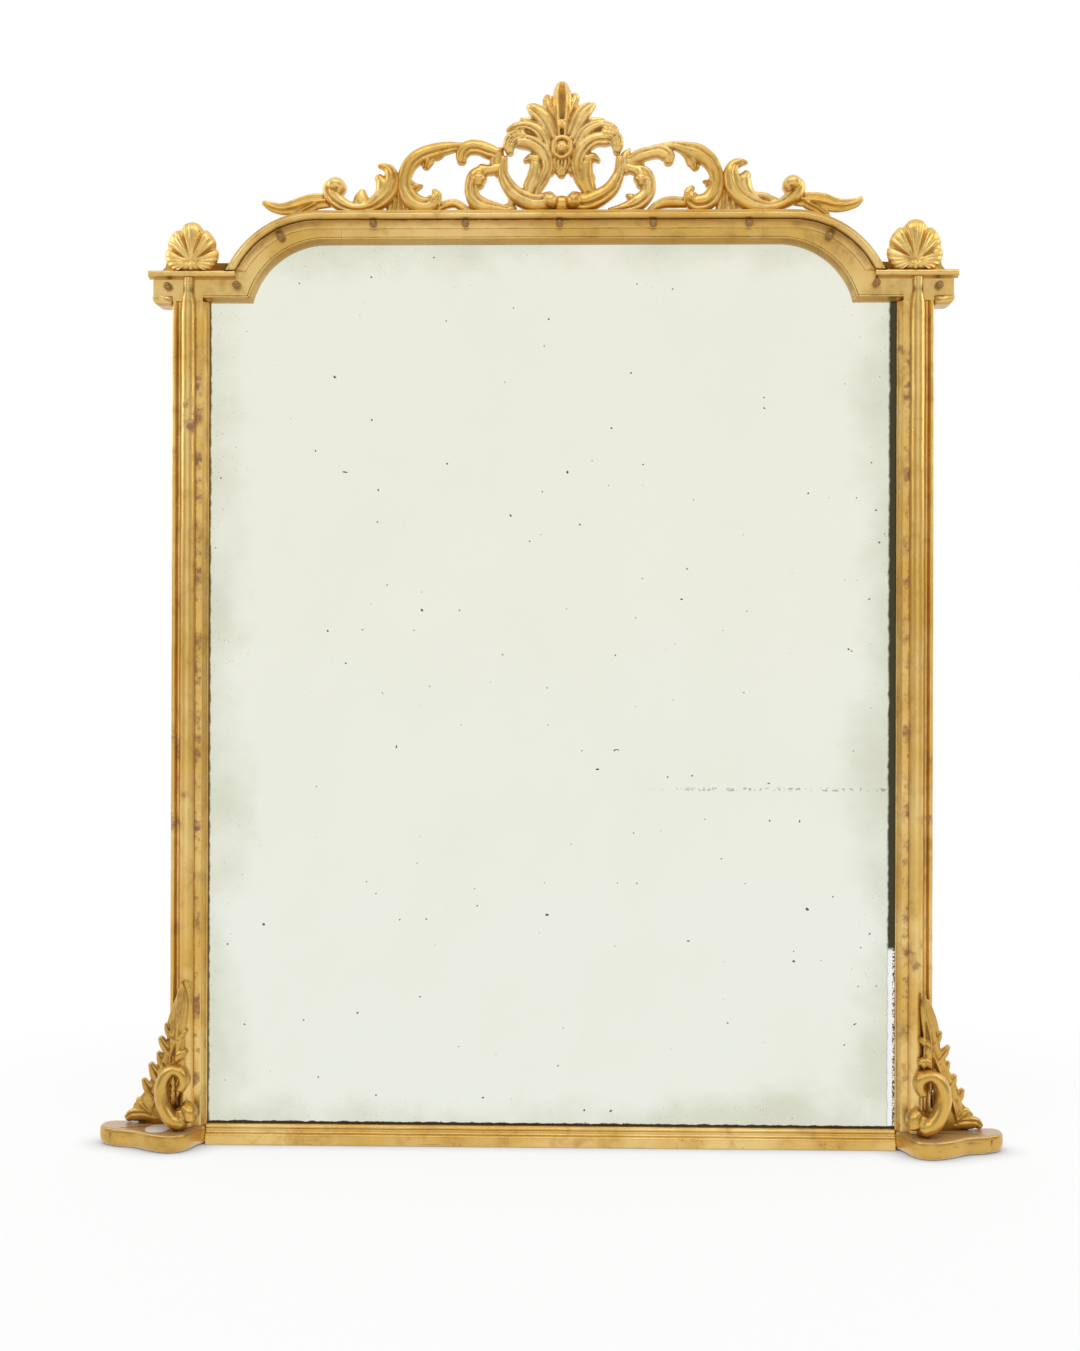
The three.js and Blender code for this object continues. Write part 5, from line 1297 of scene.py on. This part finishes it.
def nail_shape(tree, given):
    """A flat nail head that faces backwards."""
    head = fed(tree, "GeometryNodeMeshCylinder", Vertices=20, Radius=given["Radius"], Depth=given["Thickness"])
    turned = fed(tree, "GeometryNodeTransform", Geometry=head.outputs["Mesh"], Rotation=QUARTER_TURN)
    return turned.outputs["Geometry"]


def repeated(name, places, shape, lengths, material, nodes=()):
    """One piece that holds the shape at every place. Places are in millimetres, lengths in metres."""
    piece = new_piece(name, (np.array(places, float), []))
    modifier = piece.modifiers.new("repeat", "NODES")
    modifier.node_group = repeated_tree(name, shape, lengths)
    values = {"Material": material, **lengths}
    for item in modifier.node_group.interface.items_tree:
        if item.in_out == "INPUT" and item.name in values:
            modifier[item.identifier] = values[item.name]
    flattened(piece)
    finish(piece, material, nodes)


class PIER_OT_studs(bpy.types.Operator):
    """The eleven turned ball studs on the frieze"""
    bl_idname = "pier.studs"
    bl_label = "Ball studs"

    def execute(self, context):
        radius = settings().stud_radius / MM
        names = sorted(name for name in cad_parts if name.startswith("ball_stud"))
        if not names:
            raise RuntimeError("the frame has no ball studs")
        places = []
        for name in names:
            (x0, y0, z0), (x1, y1, z1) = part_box(name)
            places.append(((x0 + x1) / 2 / MM, y0 / MM + radius, (z0 + z1) / 2 / MM))
        neck = BACK - BOARD_DEPTH - SEAM - places[0][1]
        repeated("ball_studs", places, stud_shape, {"Radius": radius * MM, "Neck": neck * MM},
                 made(dark_stud), names)
        return {"FINISHED"}


# ------------------------------------------------------------------ glass, back and hangers
def speckled(name, scale, low, high, ground, specks, metallic, roughness, bump_scale):
    """A dull surface of one colour with specks of another, and a fine bump."""
    material, tree, shader = new_material(name)
    place = object_place(tree)
    colour = mix_colours(tree, band(tree, noise(tree, place, scale), low, high), ground, specks)
    put(tree, shader, Base_Color=colour, Metallic=metallic, Roughness=roughness)
    raised(tree, shader, noise(tree, place, bump_scale), 0.0002, 0.6)
    return material


def dark_stud():
    return speckled("Worn gilt stud", 700.0, 0.42, 0.6, ground=(0.17, 0.08, 0.025), specks=(0.50, 0.29, 0.09),
                    metallic=0.35, roughness=0.38, bump_scale=900.0)


def old_iron():
    return speckled("Old iron", 320.0, 0.45, 0.62, ground=(0.035, 0.032, 0.03), specks=(0.12, 0.055, 0.025),
                    metallic=0.7, roughness=0.55, bump_scale=700.0)


def old_pine():
    material, tree, shader = new_material("Old pine")
    grain = use_group(tree, wood_grain_group, Along=(0.8, 8.0, 8.0))
    worn = band(tree, noise(tree, object_place(tree), 6.0), 0.4, 0.7)
    colour = mix_colours(tree, times(tree, worn, 0.4), grain["Color"], (0.16, 0.09, 0.045))
    put(tree, shader, Base_Color=colour, Roughness=0.75)
    raised(tree, shader, grain["Height"], 0.0004, 0.5)
    return material


# Colours of the plate: clean low down and high up, a painted gradient of what it reflects, cloudy, stained,
# and the specks in it.
CLEAN_LOW, CLEAN_HIGH = (0.855, 0.875, 0.785), (0.865, 0.865, 0.74)
CLOUDY, STAINED, SPECKS = (0.83, 0.84, 0.72), (0.66, 0.67, 0.53), (0.13, 0.12, 0.09)
# Where the silvering is gone and where shade is painted: the strip at the right, dark above with lost silver
# and a painted reflection of the pilaster's inner side, and pale below with dots; the thin line at the left,
# painted shade along the sight edge; and the line just over the rail, a painted shadow under its edge.
STRIP_BARE_AND_REFLECTED, STRIP_PALE, STRIP_DOTS = (0.060, 0.055, 0.030), (0.9, 0.9, 0.9), (0.1, 0.09, 0.08)
THIN_SHADE_LINE, FOOT_SHADOW_LINE = (0.19, 0.135, 0.075), (0.07, 0.045, 0.03)
STRIP_CHANGE = 0.330              # height where the strip turns pale, in metres
SCRATCH_HEIGHT = 0.594            # height of the broken level scratch, in metres


def old_glass():
    """Silvered glass seen from the front: an even mirror with specks, stains and worn edges, and painted
    reflection and shade in its height and along its edges.
    """
    material, tree, shader = new_material("Old silvered glass")
    place = object_place(tree)
    x, _, z = separated(tree, place)
    half, top, rail = SIGHT_HALF * MM, SIGHT_TOP * MM, RAIL_TOP * MM
    # Nearness to the edges, broken up so that stains reach in unevenly.
    near = most(tree, band(tree, math_node(tree, "ABSOLUTE", x), half - 0.16, half + 0.03),
                band(tree, z, top - 0.14, top + 0.05), band(tree, times(tree, z, -1.0), -0.16, 0.0))
    broad = noise(tree, place, 4.2, 4.0, 0.6)
    # Painted reflection: the plate's tint changes with height.
    clean = mix_colours(tree, band(tree, z, 0.2, 1.4), CLEAN_LOW, CLEAN_HIGH)
    clean = mix_colours(tree, times(tree, band(tree, broad, 0.38, 0.72), 0.55), clean, CLOUDY)
    stain = math_node(tree, "MULTIPLY_ADD", broad, 0.9, times(tree, near, 0.5))
    clean = mix_colours(tree, times(tree, band(tree, stain, 0.62, 1.0), 0.8), clean, STAINED)
    # Foxing: fine dark specks, in clusters towards the edges, and a few alone.
    grain = noise(tree, place, 420.0, 2.0, 0.5)
    cluster = math_node(tree, "MULTIPLY_ADD", noise(tree, place, 9.0, 4.0, 0.65), 0.26,
                        times(tree, near, 0.085))
    foxed = band(tree, plus(tree, grain, cluster), 0.905, 0.95)
    lone = band(tree, noise(tree, place, 95.0, 1.0, 0.4), 0.785, 0.80)
    away = math_node(tree, "ABSOLUTE", math_node(tree, "SUBTRACT", z, SCRATCH_HEIGHT))
    scratch = times(tree, band(tree, away, 0.004, 0.0015), band(tree, x, 0.14, 0.3))
    scratch = times(tree, scratch, band(tree, noise(tree, place, 160.0, 2.0), 0.52, 0.6))
    colour = mix_colours(tree, most(tree, foxed, lone, times(tree, scratch, 0.55)), clean, SPECKS)
    # Along the sight edges: a wide strip at the right where the silvering is gone, its dark part also a
    # painted reflection, and thin painted shade lines elsewhere.
    ragged = times(tree, math_node(tree, "SUBTRACT", noise(tree, place, 60.0, 3.0), 0.5), 0.006)
    reach = plus(tree, x, ragged)
    dots = times(tree, band(tree, noise(tree, place, 330.0, 2.0), 0.47, 0.55),
                 band(tree, x, half - 0.0045, half - 0.0025))
    dots = most(tree, dots, band(tree, reach, half - 0.0105, half - 0.0125))
    # The dark part above is lost silver with a painted reflection of the pilaster's inner side.
    strip = mix_colours(tree, band(tree, z, STRIP_CHANGE + 0.004, STRIP_CHANGE - 0.004), STRIP_BARE_AND_REFLECTED,
                        mix_colours(tree, dots, STRIP_PALE, STRIP_DOTS))
    colour = mix_colours(tree, band(tree, reach, half - 0.0135, half - 0.0095), colour, strip)
    # Painted shade along the left sight edge.
    thin = band(tree, plus(tree, times(tree, x, -1.0), ragged), half - 0.0038, half - 0.0014)
    colour = mix_colours(tree, thin, colour, THIN_SHADE_LINE)
    # Painted shadow on the plate just above the rail.
    foot = band(tree, plus(tree, z, ragged), rail + 0.0042, rail + 0.0030)
    put(tree, shader, Base_Color=mix_colours(tree, foot, colour, FOOT_SHADOW_LINE), Metallic=1.0, Roughness=0.06)
    return material


def repaint(material, *names):
    """Gives CAD nodes that stay as they are a material."""
    for name in names:
        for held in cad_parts[name].material_slots:
            held.material = material


BOARDS = ("backboard_1", "backboard_2", "backboard_3")
# The nails, in millimetres: radius and thickness of a head, and places from the sight edge and a board's end.
NAIL_RADIUS, NAIL_THICKNESS, NAIL_OUT, NAIL_INSET = 3.0, 0.8, 13.0, 40.0


class PIER_OT_plate(bpy.types.Operator):
    """The silvered plate, and the boards and blocks behind it"""
    bl_idname = "pier.plate"
    bl_label = "Plate and back"

    def execute(self, context):
        repaint(made(old_glass), "mirror_plate")
        repaint(made(old_pine), "stile_left", "stile_right", *BOARDS, "glass_block_left", "glass_block_right")
        places = []
        for board in BOARDS:
            low, high = edge(board, 0, 2), edge(board, 1, 2)
            back = edge(board, 1, 1) + NAIL_THICKNESS / 2
            for z in (low + NAIL_INSET, (low + high) / 2, high - NAIL_INSET):
                places += [(side * (SIGHT_HALF + NAIL_OUT), back, z) for side in (-1, 1)]
        repeated("backboard_nails", places, nail_shape,
                 {"Radius": NAIL_RADIUS * MM, "Thickness": NAIL_THICKNESS * MM}, made(old_iron))
        return {"FINISHED"}


def torus(radius, wire_radius, around=48, section=16):
    """A ring in the plane of X and Z."""
    turns = np.arange(section) / section * 2 * math.pi
    out = radius + wire_radius * np.cos(turns)
    rings = [np.stack([out * math.cos(a), wire_radius * np.sin(turns), out * math.sin(a)], 1)
             for a in np.arange(around) / around * 2 * math.pi]
    faces = []
    for i in range(around):
        for j in range(section):
            k, n = (i + 1) % around, (j + 1) % section
            faces.append((i * section + j, i * section + n, k * section + n, k * section + j))
    return np.concatenate(rings), faces


# The hangers, in millimetres and degrees.
RING_RADIUS, RING_WIRE = 7.0, 1.4
EYE_DEPTH = 3.3                   # middle of the eye behind the board
HANGER_OUT, HANGER_HEIGHT, HANGER_TILT = 500.0, 1516.0, 40.0
RING_LEAN = {"left": 12.0, "right": -165.0}


def turned_about(a, b, degrees):
    """Two coordinates turned from a towards b."""
    cos, sin = math.cos(math.radians(degrees)), math.sin(math.radians(degrees))
    return a * cos - b * sin, a * sin + b * cos


class PIER_OT_hangers(bpy.types.Operator):
    """The hanging rings and their plates behind the shoulders"""
    bl_idname = "pier.hangers"
    bl_label = "Hangers"

    def execute(self, context):
        iron = made(old_iron)
        for name, side in SIDES:
            repaint(iron, f"hanger_plate_{name}", f"hanger_screw_{name}")
            points, faces = torus(RING_RADIUS, RING_WIRE)
            x, y, z = points.T
            # The ring leans about its eye, and then the whole hanger is tilted outwards.
            y, z = turned_about(y, z + RING_RADIUS, RING_LEAN[name])
            z, x = turned_about(z - RING_RADIUS, x, side * HANGER_TILT)
            points = np.stack([x + side * HANGER_OUT, y + EYE_DEPTH + BACK + SEAM, z + HANGER_HEIGHT], 1)
            ring = new_piece(f"hanging_ring_{name}", (points, faces))
            finish(ring, iron, [f"hanger_ring_{name}"], f"ring_{name}")
        return {"FINISHED"}


class PIER_OT_frieze(bpy.types.Operator):
    """The gilded frieze boards"""
    bl_idname = "pier.frieze"
    bl_label = "Frieze"

    def execute(self, context):
        repaint(made(gilding, "frieze"), "frieze_head", "frieze_shoulder_left", "frieze_shoulder_right")
        return {"FINISHED"}


# ------------------------------------------------------------------ stage
# Brightness of what stands round the object, as its gilding and glass reflect it.
FRONT_LIGHT = 0.97
BACKDROP = 0.95
ROOM_LIGHT = 0.36
TOP_LIGHT = 0.95
FLOOR_GLOW = 0.80                 # share of the floor that glows, close to the object
FLOOR_REACH = 9.0
WHITE = (1, 1, 1, 1)


def mixed_shaders(tree, factor, first, second):
    node = add_node(tree, "ShaderNodeMixShader")
    for socket, source in zip(node.inputs, (factor, first, second)):
        wire(tree, source, socket)
    return node.outputs[0]


def ray(tree, kind):
    return add_node(tree, "ShaderNodeLightPath").outputs[f"Is {kind} Ray"]


def world_light():
    """White to the camera, and a studio round the object for everything else."""
    world = bpy.data.worlds.new("Studio")
    bpy.context.scene.world = world
    world.use_nodes = True
    tree = world.node_tree
    tree.nodes.clear()
    _, y, z = separated(tree, add_node(tree, "ShaderNodeTexCoord").outputs["Generated"])
    # White paper stands behind and beside the object, the room in front is dimmer.
    level = most(tree, times(tree, band(tree, y, -0.16, 0.05), BACKDROP), ROOM_LIGHT,
                 times(tree, band(tree, z, 0.3, 0.8), TOP_LIGHT),
                 times(tree, band(tree, times(tree, y, -1.0), 0.87, 0.93), FRONT_LIGHT))
    lit = fed(tree, "ShaderNodeBackground", Color=WHITE, Strength=level)
    seen = fed(tree, "ShaderNodeBackground", Color=WHITE)
    fed(tree, "ShaderNodeOutputWorld",
        Surface=mixed_shaders(tree, ray(tree, "Camera"), lit.outputs[0], seen.outputs[0]))


def floor_material():
    """Looks white but for the shadow under the object, and reflects as white."""
    material = bpy.data.materials.new("White floor")
    material.use_nodes = True
    tree = material.node_tree
    tree.nodes.clear()
    paint = fed(tree, "ShaderNodeBsdfDiffuse", Color=(0.9, 0.9, 0.9, 1))
    spot = add_node(tree, "ShaderNodeVectorMath", operation="LENGTH")
    wire(tree, object_place(tree), spot.inputs[0])
    far = band(tree, spot.outputs["Value"], 1.0, 1.7)
    # The glow gives way right under the object, where the contact shadow is.
    close = fed(tree, "ShaderNodeAmbientOcclusion", Distance=0.05)
    glow = fed(tree, "ShaderNodeEmission", Strength=math_node(tree, "POWER", close.outputs["AO"], 0.8))
    share = math_node(tree, "MULTIPLY_ADD", far, 1 - FLOOR_GLOW, FLOOR_GLOW, clamp=True)
    seen = mixed_shaders(tree, share, paint.outputs[0], glow.outputs[0])
    mirrored = fed(tree, "ShaderNodeEmission", Strength=FRONT_LIGHT)
    fed(tree, "ShaderNodeOutputMaterial",
        Surface=mixed_shaders(tree, ray(tree, "Glossy"), seen, mirrored.outputs[0]))
    return material


def lamp(name, place, aim, power, size, colour):
    """An area lamp that points at what it is aimed at."""
    light = bpy.data.lights.new(name, "AREA")
    light.energy = power
    light.shape = "RECTANGLE"
    light.size, light.size_y = size
    light.color = colour
    rig = bpy.data.objects.new(name, light)
    bpy.context.scene.collection.objects.link(rig)
    rig.location = place
    rig.rotation_euler = (Vector(aim) - Vector(place)).to_track_quat("-Z", "Y").to_euler()


# The photograph's camera: its place, yaw, pitch and roll, and its focal length for a 36 mm sensor.
CAMERA_PLACE = (0.0774, -3.521, 0.7787)
CAMERA_YAW, CAMERA_PITCH, CAMERA_ROLL = -1.549, 0.058, 0.184
CAMERA_LENS = 70.40


def add_camera():
    data = bpy.data.cameras.new("Camera")
    data.sensor_fit = "HORIZONTAL"
    data.sensor_width = 36.0
    data.lens = CAMERA_LENS
    data.clip_end = 50.0
    camera = bpy.data.objects.new("Camera", data)
    bpy.context.scene.collection.objects.link(camera)
    yaw, pitch, roll = (math.radians(a) for a in (CAMERA_YAW, CAMERA_PITCH, CAMERA_ROLL))
    ahead = Vector((math.sin(yaw) * math.cos(pitch), math.cos(yaw) * math.cos(pitch), math.sin(pitch)))
    across = Vector((math.cos(yaw), -math.sin(yaw), 0))
    above = across.cross(ahead)
    right = math.cos(roll) * across + math.sin(roll) * above
    up = -math.sin(roll) * across + math.cos(roll) * above
    turn = Matrix((right, up, -ahead)).transposed().to_4x4()
    camera.matrix_world = Matrix.Translation(CAMERA_PLACE) @ turn
    bpy.context.scene.camera = camera


class PIER_OT_stage(bpy.types.Operator):
    """White surroundings, a floor that keeps the shadow, lamps and the camera"""
    bl_idname = "pier.stage"
    bl_label = "Stage"

    def execute(self, context):
        scene = context.scene
        scene.view_settings.view_transform = "Standard"
        world_light()
        corners = np.array([(-1, -1, 0), (1, -1, 0), (1, 1, 0), (-1, 1, 0)]) * FLOOR_REACH / MM
        floor = new_piece("floor", (corners, [(0, 1, 2, 3)]))
        floor.data.materials.append(floor_material())
        power = settings().lamp_power
        for name, side in SIDES:
            lamp(f"lamp_{name}", place=(side * 2.0, -0.1, 1.9), aim=(side * 0.6, 0, 1.2), power=power,
                 size=(1.3, 1.5), colour=(1.0, 0.97, 0.92))
        lamp("lamp_top", place=(0, -1.2, 3.2), aim=(0, 0, 1.4), power=power, size=(2.4, 1.0), colour=(1, 1, 1))
        add_camera()
        return {"FINISHED"}


# ------------------------------------------------------------------ panel and main
OPERATORS = (PIER_OT_lips, PIER_OT_sight_mouldings, PIER_OT_uprights, PIER_OT_base, PIER_OT_ears,
             PIER_OT_frieze, PIER_OT_crest, PIER_OT_shells, PIER_OT_brackets, PIER_OT_studs, PIER_OT_plate,
             PIER_OT_hangers, PIER_OT_stage)


class PIER_PT_panel(bpy.types.Panel):
    """The steps that dress the pier mirror"""
    bl_idname = "PIER_PT_panel"
    bl_label = "Pier mirror"
    bl_space_type = "VIEW_3D"
    bl_region_type = "UI"
    bl_category = "Pier mirror"

    def draw(self, context):
        for name in MirrorSettings.__annotations__:
            self.layout.prop(context.scene.pier_mirror, name)
        for operator in OPERATORS:
            self.layout.operator(operator.bl_idname)


def register():
    for cls in (MirrorSettings, *OPERATORS, PIER_PT_panel):
        bpy.utils.register_class(cls)
    bpy.types.Scene.pier_mirror = bpy.props.PointerProperty(type=MirrorSettings)


def unregister():
    del bpy.types.Scene.pier_mirror
    for cls in reversed((MirrorSettings, *OPERATORS, PIER_PT_panel)):
        bpy.utils.unregister_class(cls)


def main():
    register()
    for operator in OPERATORS:
        group, _, name = operator.bl_idname.partition(".")
        getattr(getattr(bpy.ops, group), name)()


if __name__ == "__main__":
    main()
